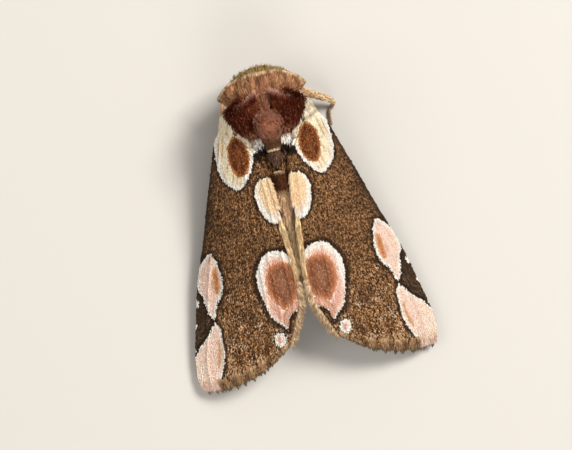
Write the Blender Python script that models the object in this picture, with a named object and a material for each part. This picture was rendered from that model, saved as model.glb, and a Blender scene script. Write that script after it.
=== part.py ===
# A peach blossom moth at rest, life size, with its wings folded like a low roof over its body.
# The head points along -Y, the tail along +Y, and the moth's own left side is at +X.

import math
import random

import bmesh
import bpy
from mathutils import Vector

# Driving dimensions, in millimetres, measured tailward (y) from the front of the head hair,
# sideways (x) from the middle of the body and up (z) from the surface that the feet stand on.
MILLIMETRE = 0.001
BOX_MIDDLE = 9.55          # y of the middle of the whole moth
GAP = 0.3                  # clear space where two pieces meet
WING_THICKNESS = 0.5
RIDGE_WIDTH = 0.42         # a vein's raised width on the forewing
RIDGE_HEIGHT = 0.15
LEG_RADIUS = 0.27
FEELER_RADIUS = 0.26
LOCK_THICKNESS = 0.5
LOCK_SCATTER = 0.07
TAPERED = ((0.0, 0.8), (0.4, 1.0), (0.75, 0.72))   # share of a lock's length, share of its width
BLUNT = ((0.0, 0.6), (0.5, 0.9), (0.86, 0.95))
WELD = 1e-6                # metres within which a union's corners are one
SEED = 3

# The forewing's front edge and inner edge, from its root to its tip and to its rear corner.
COSTA = [(2.85, 2.85, 3.6), (3.5, 3.7, 3.2), (4.1, 5.3, 2.6), (4.85, 7.4, 1.95), (5.6, 9.7, 1.4),
         (6.5, 12.2, 1.05), (7.2, 14.9, 0.85), (7.65, 17.0, 0.7), (7.72, 18.1, 0.65),
         (7.4, 19.05, 0.6)]
INNER_MARGIN = [(1.95, 3.9, 4.5), (0.9, 5.6, 4.95), (0.66, 7.2, 5.05), (0.45, 9.6, 4.95),
                (0.3, 12.0, 4.6), (0.28, 14.5, 4.1), (0.7, 15.7, 3.55), (1.3, 16.9, 2.95)]
MARGIN_BULGE = 0.8         # how far the outer edge swells past the line from tip to rear corner
MARGIN_OUT = Vector((-0.27, 0.96, 0.0))
ARCH_FLAT = 0.35           # share of the roof's slope that is even from ridge to front edge
ARCH_POWER = 2.2

# Each vein: its place across the wing at the root and at the outer edge (0 front, 1 inner edge),
# and the share of the wing's length where its ridge starts.
FOREWING_VEINS = [(0.17, 0.10, 0.0), (0.29, 0.26, 0.5), (0.40, 0.41, 0.5), (0.50, 0.56, 0.5),
                  (0.62, 0.70, 0.0), (0.70, 0.82, 0.32), (0.88, 0.93, 0.0)]
CELL_END = 0.5             # where the cross vein closes the forewing's cell
HINDWING_VEINS = [(0.16, 0.14, 0.0), (0.34, 0.36, 0.3), (0.52, 0.56, 0.3), (0.68, 0.76, 0.0),
                  (0.88, 0.90, 0.0)]
HINDWING_DROP = WING_THICKNESS + GAP + 0.08
HINDWING_ROOT = 0.17       # share of the forewing's length where the hindwing starts
HINDWING_INNER = 0.945     # share of the forewing's width that its inner edge reaches
HINDWING_RIDGE = 0.09

# Cross-sections of the body: y, half width, top, bottom.
HEAD_SECTIONS = [(0.42, 0.5, 3.45, 2.55), (0.62, 0.98, 3.9, 2.1), (1.1, 1.35, 4.2, 1.85),
                 (1.6, 1.25, 4.15, 2.0), (1.95, 0.95, 3.95, 2.3)]
THORAX_SECTIONS = [(2.25, 1.6, 4.4, 1.9), (2.5, 1.95, 4.55, 1.7), (3.1, 2.12, 4.7, 1.5),
                   (4.2, 1.75, 4.4, 1.5), (5.4, 1.25, 3.75, 1.6)]
ABDOMEN_SECTIONS = [(5.7, 1.25, 3.2, 1.5), (7.5, 1.45, 3.25, 1.35), (10.0, 1.35, 3.15, 1.4),
                    (12.5, 0.95, 2.85, 1.5), (14.1, 0.45, 2.35, 1.65)]
ABDOMEN_LENGTHS = {"abdomen_front": (5.7, 8.35), "abdomen_middle": (8.65, 11.25),
                   "abdomen_rear": (11.55, 14.1)}

EYE_CENTRE = (1.15, 0.85, 3.05)
EYE_RADIUS = 0.58
EYE_GAP = 0.2

# Limbs on the moth's left side, from the root to the tip.
ANTENNA = [(0.46, 0.05, 3.52), (1.15, -0.12, 3.45), (1.95, 0.15, 3.05), (2.42, 1.1, 2.4),
           (2.7, 2.4, 2.1), (3.1, 3.7, 2.0), (3.6, 5.2, 1.7), (3.95, 8.2, 1.1)]
PALP = [(0.4, 0.12, 2.2), (0.43, -0.02, 2.45), (0.4, -0.12, 2.95)]
FORE_LEG = [(0.75, 2.5, 1.32), (1.0, 2.45, 1.0), (2.0, 2.0, 1.45), (1.95, 1.5, 0.5),
            (1.8, 1.25, 0.22), (1.5, 0.35, 0.2)]
STRETCHED_FORE_LEG = [(0.75, 2.5, 1.32), (1.05, 2.4, 1.05), (2.2, 1.75, 1.5), (3.3, 2.2, 1.25),
                      (4.25, 2.75, 0.62), (4.15, 3.0, 0.26), (3.9, 3.3, 0.2), (3.85, 4.2, 0.2)]
MID_LEG = [(0.85, 3.6, 1.1), (1.15, 3.7, 0.95), (2.7, 4.3, 1.45), (3.25, 5.2, 0.5),
           (3.35, 5.6, 0.22), (3.5, 6.9, 0.2)]
HIND_LEG = [(0.75, 4.7, 1.2), (0.95, 5.0, 0.98), (1.9, 7.2, 1.2), (2.4, 10.0, 0.5),
            (2.5, 10.6, 0.22), (2.8, 13.2, 0.2)]

LIMB_TIP_RADIUS = 0.2
PALP_RADIUS = 0.25
FEELER_TIP_RADIUS = 0.16
TONGUE = {"centre": (0.22, 1.55), "radius": 0.3, "thickness": 0.13, "tip": 0.11,
          "from": -60, "to": 240}                      # a coil below the face, in degrees

# Locks of the coat, on the left side where they come in pairs. Sizes are width, thickness.
HEAD_LOCKS = {"count": 7, "root": (0.7, 1.1, 3.95), "middle_tip": (0.0, -0.3, 4.15),
              "outer_tip": (1.15, 0.08, 4.22), "size": (0.55, 0.42)}
COLLAR = {"count": 13, "half_turn": 84, "neck_y": 1.95, "neck_radius": (1.95, 1.35),
          "neck_z": 3.45, "rim_y": 0.4, "rim_back": 0.95, "rim_radius": (2.8, 1.75),
          "rim_z": 3.2, "width": 0.95}
TEGULA = {"count": 5, "inner_root": (1.45, 2.42, 4.95), "outer_root": (2.72, 2.5, 4.15),
          "inner_tip": (1.33, 4.85, 5.5), "outer_tip": (2.05, 4.1, 5.3), "width": 0.85,
          "upper_reach": 0.62, "upper_lift": (0.08, 0.0, 0.18)}
CREST_CENTRE = Vector((0.0, 3.45, 5.62))
CREST_RADIUS = 0.95
CREST = {"core": (0.0, 3.5, 5.32), "core_radii": (0.52, 0.6, 0.34), "width": 0.72,
         "rings": ((1, 0), (6, 40), (9, 72)),          # locks in a ring, degrees from upright
         "tail_root": (0.3, 3.9, 5.32), "tail_tip": (0.24, 5.1, 5.5), "tail_width": 0.55}
ABDOMEN_TUFTS = {"places": ((5.75, 4.95), (6.65, 4.8)), "root_z": 2.9, "spread": 0.12,
                 "width": 0.36}                        # y of each tuft, z of its top
TAIL_LOCKS = {"count": 7, "root": (0.3, 13.4, 2.1), "tip": (0.42, 14.9, 1.9), "width": 0.5}
INNER_HAIR = {"count": 5, "first": 0.32, "step": 0.07, "reach": 0.15, "hang": (0.06, 0, -0.3),
              "size": (0.5, 0.4)}                      # shares of the wing's length

# Base colours (red, green, blue) of each kind of surface.
COLOURS = {
    "wing": (0.10, 0.065, 0.03), "hindwing": (0.30, 0.25, 0.19), "head": (0.24, 0.19, 0.12),
    "eye": (0.015, 0.012, 0.01), "collar": (0.42, 0.29, 0.15), "thorax": (0.14, 0.08, 0.05),
    "tegula": (0.07, 0.02, 0.012), "crest": (0.22, 0.12, 0.08), "abdomen": (0.32, 0.24, 0.15),
    "leg": (0.60, 0.47, 0.28), "antenna": (0.20, 0.14, 0.09),
}


draw = random.Random()


# Starts the random draw afresh for one node, so that its locks don't change with another's.
def draw_for(name):
    draw.seed(name + " " + str(SEED))


def clear_scene():
    for thing in list(bpy.data.objects):
        bpy.data.objects.remove(thing, do_unlink=True)


def material(name, rough=0.8):
    made = bpy.data.materials.get(name)
    if made is None:
        made = bpy.data.materials.new(name)
        made.use_nodes = True
        shader = made.node_tree.nodes["Principled BSDF"]
        shader.inputs["Base Color"].default_value = (*COLOURS[name], 1.0)
        shader.inputs["Roughness"].default_value = rough
        shader.inputs["Metallic"].default_value = 0.0
    return made


# A smooth line through points, and a share from 0 to 1 of the way along it.
def along(points, share):
    points = [Vector(point) for point in points]
    reached = [0.0]
    for before, after in zip(points, points[1:]):
        reached.append(reached[-1] + (after - before).length)
    distance = max(0.0, min(1.0, share)) * reached[-1]
    last = len(points) - 1
    i = max(k for k in range(last) if reached[k] <= distance + 1e-9)
    slopes = []
    for k in (i, i + 1):
        low = max(k - 1, 0)
        high = min(k + 1, last)
        slopes.append((points[high] - points[low]) / (reached[high] - reached[low]))
    span = reached[i + 1] - reached[i]
    t = (distance - reached[i]) / span
    return (points[i] * (2 * t**3 - 3 * t**2 + 1) + slopes[0] * span * (t**3 - 2 * t**2 + t)
            + points[i + 1] * (3 * t**2 - 2 * t**3) + slopes[1] * span * (t**3 - t**2))


# One object from corners and faces in the moth's own millimetres. side -1 mirrors it.
def solid(name, corners, faces, colour, side=1):
    mesh = bpy.data.meshes.new(name)
    placed = [(side * x * MILLIMETRE, (y - BOX_MIDDLE) * MILLIMETRE, z * MILLIMETRE)
              for x, y, z in corners]
    mesh.from_pydata(placed, [], faces)
    work = bmesh.new()
    work.from_mesh(mesh)
    bmesh.ops.triangulate(work, faces=[face for face in work.faces if len(face.verts) > 3])
    bmesh.ops.recalc_face_normals(work, faces=work.faces)
    work.to_mesh(mesh)
    work.free()
    mesh.materials.append(material(colour))
    mesh.shade_smooth()
    made = bpy.data.objects.new(name, mesh)
    bpy.context.scene.collection.objects.link(made)
    return made


# Rings of equal size joined into one closed skin, with flat ends.
def skin_of_rings(rings):
    count = len(rings[0])
    corners = [corner for ring in rings for corner in ring]
    faces = [tuple(range(count)), tuple(range(len(corners) - count, len(corners)))]
    for row in range(len(rings) - 1):
        for k in range(count):
            here = row * count + k
            beside = row * count + (k + 1) % count
            faces.append((here, beside, beside + count, here + count))
    return corners, faces


# A round tube along a line, as a limb: thickest at the root, on flat soles where it is low.
def tube(points, radius, tip_radius, rings, sides):
    made = []
    previous = Vector((0.0, 0.0, 1.0))
    for i in range(rings):
        share = i / (rings - 1)
        middle = along(points, share)
        ahead = along(points, share + 0.02) - along(points, share - 0.02)
        across = ahead.cross(previous).normalized()
        up = across.cross(ahead).normalized()
        previous = up
        size = radius + (tip_radius - radius) * share**2
        ring = []
        for k in range(sides):
            turn = 2 * math.pi * (k + 0.5) / sides
            corner = middle + across * (size * math.cos(turn)) + up * (size * math.sin(turn))
            corner.z = max(corner.z, 0.0)
            ring.append(tuple(corner))
        made.append(ring)
    return skin_of_rings(made)


# One length of the body, lofted through its cross-sections from y start to y end.
def body_length(sections, start, end, rings, sides):
    made = []
    for i in range(rings):
        y = start + (end - start) * i / (rings - 1)
        wide, top, bottom = section_at(sections, y)
        middle = (top + bottom) / 2
        tall = (top - bottom) / 2
        made.append([(wide * math.sin(2 * math.pi * k / sides), y,
                      middle + tall * math.cos(2 * math.pi * k / sides)) for k in range(sides)])
    return skin_of_rings(made)


# Half width, top and bottom of a lofted body at y, by easing between its cross-sections.
def section_at(sections, y):
    for before, after in zip(sections, sections[1:]):
        if y <= after[0] or after is sections[-1]:
            t = min(1.0, max(0.0, (y - before[0]) / (after[0] - before[0])))
            return [low + (high - low) * t for low, high in zip(before[1:], after[1:])]


# A flat lock of hair, tapered to its tip, that leaves its root along one line and bends.
# Each differs a little from the next in width, and in where its tip ends.
def lock(root, tip, bend, up, width, thickness=LOCK_THICKNESS, sizes=TAPERED):
    tip = Vector(tip) + Vector([draw.uniform(-LOCK_SCATTER, LOCK_SCATTER) for _ in range(3)])
    root, bend = Vector(root), Vector(bend)
    width *= draw.uniform(0.9, 1.1)
    rings = []
    for share, size in sizes:
        middle = root.lerp(tip, share) + bend * (4 * share * (1 - share))
        ahead = tip - root + bend * (4 - 8 * share)
        across = ahead.cross(Vector(up)).normalized()
        over = across.cross(ahead).normalized()
        half_wide = across * (width * size / 2)
        half_thick = over * (thickness * size / 2)
        rings.append([tuple(middle + half_wide), tuple(middle + half_thick),
                      tuple(middle - half_wide), tuple(middle - half_thick)])
    corners, faces = skin_of_rings(rings)
    faces.pop(1)
    corners.append(tuple(tip))
    last = len(corners) - 1
    for k in range(4):
        faces.append((last - 4 + k, last - 4 + (k + 1) % 4, last))
    return corners, faces


def ball(centre, radii, rows, sides):
    rings = []
    for i in range(1, rows):
        slant = math.pi * i / rows
        rings.append([(centre[0] + radii[0] * math.sin(slant) * math.cos(2 * math.pi * k / sides),
                       centre[1] + radii[1] * math.sin(slant) * math.sin(2 * math.pi * k / sides),
                       centre[2] + radii[2] * math.cos(slant)) for k in range(sides)])
    return skin_of_rings(rings)


# One union of a core and its locks, which keeps only its largest closed surface.
def fuse(name, pieces, colour, side=1):
    group = bpy.data.collections.new(name + " pieces")
    objects = [solid(name + " piece", corners, faces, colour, side) for corners, faces in pieces]
    for extra in objects[1:]:
        bpy.context.scene.collection.objects.unlink(extra)
        group.objects.link(extra)
    union = objects[0].modifiers.new("union", "BOOLEAN")
    union.operation = "UNION"
    union.operand_type = "COLLECTION"
    union.collection = group
    union.solver = "EXACT"
    mesh = bpy.data.meshes.new_from_object(objects[0].evaluated_get(
        bpy.context.evaluated_depsgraph_get()))
    for used in objects:
        bpy.data.objects.remove(used, do_unlink=True)
    bpy.data.collections.remove(group)
    keep_largest_surface(mesh)
    mesh.name = name
    made = bpy.data.objects.new(name, mesh)
    bpy.context.scene.collection.objects.link(made)
    return made


def keep_largest_surface(mesh):
    work = bmesh.new()
    work.from_mesh(mesh)
    bmesh.ops.triangulate(work, faces=work.faces)
    bmesh.ops.remove_doubles(work, verts=work.verts, dist=WELD)
    bmesh.ops.dissolve_degenerate(work, edges=work.edges, dist=WELD)
    bmesh.ops.triangulate(work, faces=work.faces)
    work.verts.ensure_lookup_table()
    unseen = set(work.verts)
    groups = []
    while unseen:
        front = [unseen.pop()]
        group = set(front)
        while front:
            for edge in front.pop().link_edges:
                for vert in edge.verts:
                    if vert in unseen:
                        unseen.remove(vert)
                        group.add(vert)
                        front.append(vert)
        groups.append(group)
    groups.sort(key=len)
    for group in groups[:-1]:
        bmesh.ops.delete(work, geom=list(group), context="VERTS")
    work.to_mesh(mesh)
    work.free()


# The forewing's upper surface: u runs from root to outer edge, v from front edge to inner edge.
def forewing_surface(u, v):
    front = along(COSTA, u)
    back = along(INNER_MARGIN, u)
    spot = front.lerp(back, v)
    spot += MARGIN_OUT * (MARGIN_BULGE * u**5 * (4 * v * (1 - v)) ** 0.9)
    t = 1 - v
    spot.z = back.z - (back.z - front.z) * (ARCH_FLAT * t + (1 - ARCH_FLAT) * t**ARCH_POWER)
    return spot


# Square to the upper surface, read a little inside the edges and over a wide step, so that it
# turns evenly where the outline bends.
def forewing_normal(u, v):
    step = 0.05
    u = min(max(u, 2 * step), 1 - 2 * step)
    v = min(max(v, 2 * step), 1 - 2 * step)
    outward = forewing_surface(u + step, v) - forewing_surface(u - step, v)
    inward = forewing_surface(u, v + step) - forewing_surface(u, v - step)
    return outward.cross(inward).normalized()


# The hindwing lies folded under the forewing, so its surface is a patch of the forewing's
# lowered by a fixed depth: a runs from its root to its outer edge, b from front to inner edge.
def hindwing_place(a, b):
    reach = 0.80 + 0.12 * (4 * b * (1 - b)) ** 0.7 + 0.08 * b
    u = HINDWING_ROOT + a * (reach - HINDWING_ROOT)
    front = 0.78 - 0.48 * a
    return u, front + (HINDWING_INNER - front) * b


def hindwing_surface(a, b):
    u, v = hindwing_place(a, b)
    return forewing_surface(u, v) - forewing_normal(u, v) * HINDWING_DROP


def hindwing_normal(a, b):
    return forewing_normal(*hindwing_place(a, b))


# A wing as one thin closed solid: columns follow the veins, three to each, and the middle
# column of a vein stands up as its ridge. Both faces are split into the same triangles.
def wing(surface, normal, veins, rows, ridge, cell_end=None):
    upper = []
    lower = []
    for i in range(rows + 1):
        u = i / rows
        width = (surface(u, 0.0) - surface(u, 1.0)).length
        half = min(0.03, RIDGE_WIDTH / 2 / width)
        columns = [(0.0, 0.0)]
        for place, end, start in veins:
            v = place + (end - place) * u
            rise = ridge if start <= u < 1 else 0.0
            columns += [(v - half, 0.0), (v, rise), (v + half, 0.0)]
        columns.append((1.0, 0.0))
        if cell_end is not None and abs(u - cell_end) < 0.5 / rows:
            columns = [(v, ridge if veins[0][0] < v < veins[4][0] else rise)
                       for v, rise in columns]
        for v, rise in columns:
            out = normal(u, v)
            spot = surface(u, v)
            upper.append(tuple(spot + out * rise))
            lower.append(tuple(spot - out * WING_THICKNESS))
    across = len(upper) // (rows + 1)
    corners = upper + lower
    below = len(upper)
    faces = []
    for i in range(rows):
        for j in range(across - 1):
            a = i * across + j
            for tri in ((a, a + 1, a + across), (a + 1, a + across + 1, a + across)):
                faces.append(tri)
                faces.append(tuple(below + corner for corner in reversed(tri)))
    edge = list(range(across)) + [i * across + across - 1 for i in range(1, rows + 1)]
    edge += [rows * across + j for j in range(across - 2, -1, -1)]
    edge += [i * across for i in range(rows - 1, 0, -1)]
    for here, there in zip(edge, edge[1:] + edge[:1]):
        faces.append((here, there, below + there))
        faces.append((here, below + there, below + here))
    return corners, faces


# Long hair that hangs from the forewing's inner edge into the gap over the abdomen, with its
# flat side to the gap, and stays on its own side of the middle.
def inner_hair(share):
    inside = forewing_surface(share, 0.95) - forewing_normal(share, 0.95) * (WING_THICKNESS / 2)
    tip = along(INNER_MARGIN, share + INNER_HAIR["reach"]) + Vector(INNER_HAIR["hang"])
    return lock(inside, tip, (-0.04, 0, 0.03), (-1, 0, 0.1), *INNER_HAIR["size"])


def build_wings():
    for label, side in (("left", 1), ("right", -1)):
        draw_for("forewing_" + label)
        skin = wing(forewing_surface, forewing_normal, FOREWING_VEINS, 16, RIDGE_HEIGHT, CELL_END)
        hair = [inner_hair(INNER_HAIR["first"] + INNER_HAIR["step"] * k)
                for k in range(INNER_HAIR["count"])]
        fuse("forewing_" + label, [skin] + hair, "wing", side)
        skin = wing(hindwing_surface, hindwing_normal, HINDWING_VEINS, 10, HINDWING_RIDGE)
        solid("hindwing_" + label, *skin, "hindwing", side)


# A place between a middle one and an outer one, across running from -1 to 1.
def spread(middle, outer, across):
    spot = Vector(middle).lerp(Vector(outer), across**2)
    spot.x = outer[0] * across
    return spot


def build_head():
    core = body_length(HEAD_SECTIONS, HEAD_SECTIONS[0][0], HEAD_SECTIONS[-1][0], 9, 16)
    pieces = [core]
    draw_for("head")
    for i in range(HEAD_LOCKS["count"]):
        across = 2 * i / (HEAD_LOCKS["count"] - 1) - 1
        root = spread(HEAD_LOCKS["root"], HEAD_LOCKS["root"], across)
        tip = spread(HEAD_LOCKS["middle_tip"], HEAD_LOCKS["outer_tip"], across)
        pieces.append(lock(root, tip, (0, 0, 0.1), (0, 0, 1), *HEAD_LOCKS["size"]))
    head = fuse("head", pieces, "head")
    for side in (1, -1):
        cut_socket(head, side)
    for label, side in (("left", 1), ("right", -1)):
        solid("eye_" + label, *ball(EYE_CENTRE, (EYE_RADIUS,) * 3, 9, 14), "eye", side)
        solid("palp_" + label, *tube(PALP, PALP_RADIUS, LIMB_TIP_RADIUS, 6, 8), "head", side)
        solid("antenna_" + label, *tube(ANTENNA, FEELER_RADIUS, FEELER_TIP_RADIUS, 22, 6),
              "antenna", side)
    build_tongue()


# The round hollow that an eye sits in, with an even gap.
def cut_socket(head, side):
    socket = solid("socket", *ball(EYE_CENTRE, (EYE_RADIUS + EYE_GAP,) * 3, 8, 12), "head", side)
    cut = head.modifiers.new("socket", "BOOLEAN")
    cut.operation = "DIFFERENCE"
    cut.object = socket
    mesh = bpy.data.meshes.new_from_object(head.evaluated_get(
        bpy.context.evaluated_depsgraph_get()))
    head.modifiers.clear()
    bpy.data.objects.remove(socket, do_unlink=True)
    keep_largest_surface(mesh)
    head.data = mesh


def build_tongue():
    steps = 10
    coil = []
    for k in range(steps + 1):
        turn = math.radians(TONGUE["from"] + (TONGUE["to"] - TONGUE["from"]) * k / steps)
        coil.append((0.0, TONGUE["centre"][0] + TONGUE["radius"] * math.cos(turn),
                     TONGUE["centre"][1] + TONGUE["radius"] * math.sin(turn)))
    solid("proboscis", *tube(coil, TONGUE["thickness"], TONGUE["tip"], 14, 6), "antenna")


# A fan of locks from the neck forward and out to a rim, open below.
def build_collar():
    draw_for("collar")
    pieces = []
    for i in range(COLLAR["count"]):
        across = 2 * i / (COLLAR["count"] - 1) - 1
        turn = math.radians(COLLAR["half_turn"]) * across
        root = (COLLAR["neck_radius"][0] * math.sin(turn), COLLAR["neck_y"],
                COLLAR["neck_z"] + COLLAR["neck_radius"][1] * math.cos(turn))
        tip = (COLLAR["rim_radius"][0] * math.sin(turn),
               COLLAR["rim_y"] + COLLAR["rim_back"] * math.sin(turn) ** 2,
               COLLAR["rim_z"] + COLLAR["rim_radius"][1] * math.cos(turn))
        pieces.append(lock(root, tip, (0, 0, 0.05), (math.sin(turn), 0, math.cos(turn)),
                           COLLAR["width"]))
    fuse("collar", pieces, "collar")


# Two layers of locks over each forewing's root, swept back and in beside the crest.
def build_tegula(label, side):
    draw_for("tegula_" + label)
    pieces = []
    for layer, reach in ((0, 1.0), (1, TEGULA["upper_reach"])):
        for i in range(TEGULA["count"] - layer):
            across = (i + 0.5 * layer) / (TEGULA["count"] - 1)
            root = Vector(TEGULA["inner_root"]).lerp(Vector(TEGULA["outer_root"]), across)
            tip = Vector(TEGULA["inner_tip"]).lerp(Vector(TEGULA["outer_tip"]), across)
            tip = root.lerp(tip, reach) + Vector(TEGULA["upper_lift"]) * layer
            pieces.append(lock(root, tip, (0.1, 0, 0.12), (0.35, 0, 1), TEGULA["width"]))
    fuse("tegula_" + label, pieces, "tegula", side)


# A round tuft: locks that leave one core in rings and end on a ball, and a tail behind.
def build_crest():
    draw_for("thorax_crest")
    pieces = [ball(CREST["core"], CREST["core_radii"], 6, 10)]
    for count, slant in CREST["rings"]:
        for k in range(count):
            turn = 2 * math.pi * (k + 0.5) / count
            lean = math.radians(slant)
            aim = Vector((math.sin(lean) * math.sin(turn), math.sin(lean) * math.cos(turn),
                          math.cos(lean)))
            root = Vector(CREST["core"]) + Vector((0.1 * aim.x, 0.1 * aim.y, -0.07))
            bend = (0.07 * aim.x, 0.07 * aim.y, -0.03)
            up = (0, 0.2, 1) if slant else (0, 1, 0)
            pieces.append(lock(root, CREST_CENTRE + aim * CREST_RADIUS, bend, up,
                               CREST["width"], sizes=BLUNT))
    for across in (-1, 0, 1):
        pieces.append(lock(spread(CREST["tail_root"], CREST["tail_root"], across),
                           spread(CREST["tail_tip"], CREST["tail_tip"], across),
                           (0, 0, 0.12), (0, 0, 1), CREST["tail_width"]))
    fuse("thorax_crest", pieces, "crest")


def build_thorax():
    solid("thorax", *body_length(THORAX_SECTIONS, 2.25, 5.4, 9, 18), "thorax")
    build_collar()
    build_tegula("left", 1)
    build_tegula("right", -1)
    build_crest()


def abdomen_tufts():
    pieces = []
    for y, top in ABDOMEN_TUFTS["places"]:
        for across in (-1, 0, 1):
            aside = ABDOMEN_TUFTS["spread"] * across
            pieces.append(lock((aside * 0.7, y + 0.2, ABDOMEN_TUFTS["root_z"]),
                               (aside, y + 0.8, top - 0.1 * abs(across)),
                               (0, -0.12, 0), (0, 1, 0), ABDOMEN_TUFTS["width"]))
    return pieces


def tail_locks():
    pieces = []
    for k in range(TAIL_LOCKS["count"]):
        turn = 2 * math.pi * k / TAIL_LOCKS["count"]
        ends = []
        for key, tall in (("root", 0.2), ("tip", 0.3)):
            wide, y, z = TAIL_LOCKS[key]
            ends.append((wide * math.sin(turn), y, z + tall * math.cos(turn)))
        pieces.append(lock(*ends, (0, 0, 0), (math.sin(turn), 0, math.cos(turn)),
                           TAIL_LOCKS["width"]))
    return pieces


def build_abdomen():
    hair = {"abdomen_front": abdomen_tufts, "abdomen_rear": tail_locks}
    for name, (start, end) in ABDOMEN_LENGTHS.items():
        core = body_length(ABDOMEN_SECTIONS, start, end, 6, 16)
        if name in hair:
            draw_for(name)
            fuse(name, [core] + hair[name](), "abdomen")
        else:
            solid(name, *core, "abdomen")


def build_legs():
    for label, side in (("left", 1), ("right", -1)):
        fore = FORE_LEG if side == 1 else STRETCHED_FORE_LEG
        for kind, path in (("fore", fore), ("mid", MID_LEG), ("hind", HIND_LEG)):
            solid(kind + "_leg_" + label, *tube(path, LEG_RADIUS, LIMB_TIP_RADIUS, 14, 8), "leg",
                  side)


clear_scene()
build_wings()
build_head()
build_thorax()
build_abdomen()
build_legs()
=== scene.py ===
# A peach blossom moth at rest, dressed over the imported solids: skin, wing scales and hair.
# Lengths are in millimetres: x sideways from the middle, y tailward from the front of the
# head hair, z up from the floor. The moth's own left side is at +x.
import math

import bmesh
import bpy
import numpy as np
from mathutils import Matrix, Vector, kdtree, noise


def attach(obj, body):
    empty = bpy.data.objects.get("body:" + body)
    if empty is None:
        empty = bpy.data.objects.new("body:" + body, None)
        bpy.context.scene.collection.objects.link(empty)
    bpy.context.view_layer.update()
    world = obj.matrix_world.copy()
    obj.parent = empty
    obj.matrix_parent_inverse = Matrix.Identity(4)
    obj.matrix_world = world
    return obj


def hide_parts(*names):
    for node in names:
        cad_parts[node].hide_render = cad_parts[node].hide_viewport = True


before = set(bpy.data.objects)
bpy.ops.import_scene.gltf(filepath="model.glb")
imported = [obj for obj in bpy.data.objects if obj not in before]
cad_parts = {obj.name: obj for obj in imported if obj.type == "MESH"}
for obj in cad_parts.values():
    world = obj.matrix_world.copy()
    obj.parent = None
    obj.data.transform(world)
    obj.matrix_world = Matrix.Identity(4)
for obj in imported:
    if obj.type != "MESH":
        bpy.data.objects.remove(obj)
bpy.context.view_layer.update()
print("frame loaded")

millimetre = 0.001
headToMiddle = 9.55        # y of the middle of the whole moth
chance = np.random.default_rng(41)
noise.seed_set(41)                    # or noise_vector differs from run to run


# Small tools for points, lines and tints.
def toFrame(points):
    placed = np.array(points, float)
    placed[..., 1] -= headToMiddle
    return placed * millimetre


def tint(red, green, blue):           # a colour as seen on screen, 0 to 255
    seen = np.array([red, green, blue]) / 255
    return np.where(seen <= 0.04045, seen / 12.92, ((seen + 0.055) / 1.055) ** 2.4)


def blendTints(first, second, share):
    share = np.clip(np.asarray(share, float), 0, 1)[..., None]
    return first * (1 - share) + second * share


def unit(vectors):
    return vectors / np.maximum(np.linalg.norm(vectors, axis=-1, keepdims=True), 1e-9)


def stacked(*columns):
    return np.stack(np.broadcast_arrays(*columns), axis=-1).astype(float)


def smoothLine(points, share):        # a smooth line through points, at shares 0 to 1 of its length
    points = np.array(points, float)
    reached = np.concatenate([[0], np.cumsum(np.linalg.norm(np.diff(points, axis=0), axis=1))])
    distance = np.clip(share, 0, 1) * reached[-1]
    i = np.clip(np.searchsorted(reached, distance, side="right") - 1, 0, len(points) - 2)
    low = np.maximum(np.arange(len(points)) - 1, 0)
    high = np.minimum(np.arange(len(points)) + 1, len(points) - 1)
    slopes = (points[high] - points[low]) / (reached[high] - reached[low])[:, None]
    span = (reached[i + 1] - reached[i])[..., None]
    t = (distance - reached[i])[..., None] / span
    return (points[i] * (2 * t**3 - 3 * t**2 + 1) + slopes[i] * span * (t**3 - 2 * t**2 + t)
            + points[i + 1] * (3 * t**2 - 2 * t**3) + slopes[i + 1] * span * (t**3 - t**2))


def patchy(x, y, size, layer=0.0):    # slow noise from -1 to 1, its patches about size across
    return np.array([noise.noise(Vector((a / size, b / size, layer))) for a, b in zip(x, y)])


def leaned(lie, out, lean):           # the lie laid flat on the surface, then raised by lean
    flat = unit(lie - out * np.sum(lie * out, axis=-1, keepdims=True))
    lean = np.asarray(lean, float)[..., None]
    return flat * np.cos(lean) + out * np.sin(lean)


# Nodes. Sockets come as a dictionary: a value sets its socket, another node's output is linked.
def feed(tree, node, sockets):
    for key, value in sockets.items():
        if isinstance(value, bpy.types.NodeSocket):
            tree.links.new(value, node.inputs[key])
        else:
            node.inputs[key].default_value = value


def addNode(tree, kind, sockets=None, **settings):
    node = tree.nodes.new(kind)
    for key, value in settings.items():
        setattr(node, key, value)
    feed(tree, node, sockets or {})
    return node


def addMath(tree, operation, *values):
    return addNode(tree, "ShaderNodeMath", dict(enumerate(values)), operation=operation).outputs[0]


def addVectorMath(tree, operation, sockets):
    return addNode(tree, "ShaderNodeVectorMath", sockets, operation=operation).outputs[0]


def makeTree(name, kind, inputs, outputs):
    tree = bpy.data.node_groups.new(name, kind)
    for way, sockets in (("INPUT", inputs), ("OUTPUT", outputs)):
        for socket, held in sockets.items():
            tree.interface.new_socket(socket, in_out=way, socket_type="NodeSocket" + held)
    return tree, addNode(tree, "NodeGroupInput").outputs


def makeGrainGroup():                 # fine uneven colour, gloss and height for every surface
    tree, given = makeTree("fineGrain", "ShaderNodeTree",
                           {"Tint": "Color", "Grain Scale": "Float", "Unevenness": "Float",
                            "Roughness": "Float"},
                           {"Color": "Color", "Roughness": "Float", "Height": "Float"})
    place = addNode(tree, "ShaderNodeTexCoord").outputs["Object"]
    grain = addNode(tree, "ShaderNodeTexNoise", {"Vector": place, "Scale": given["Grain Scale"],
                                                 "Detail": 3}).outputs["Fac"]
    swing = addMath(tree, "SUBTRACT", grain, 0.5)
    shade = addMath(tree, "MULTIPLY_ADD", swing, given["Unevenness"], 1.0)
    addNode(tree, "NodeGroupOutput", {
        "Color": addVectorMath(tree, "SCALE", {0: given["Tint"], "Scale": shade}),
        "Roughness": addMath(tree, "MULTIPLY_ADD", swing, 0.25, given["Roughness"]),
        "Height": grain})
    return tree


grainGroup = makeGrainGroup()


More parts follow.
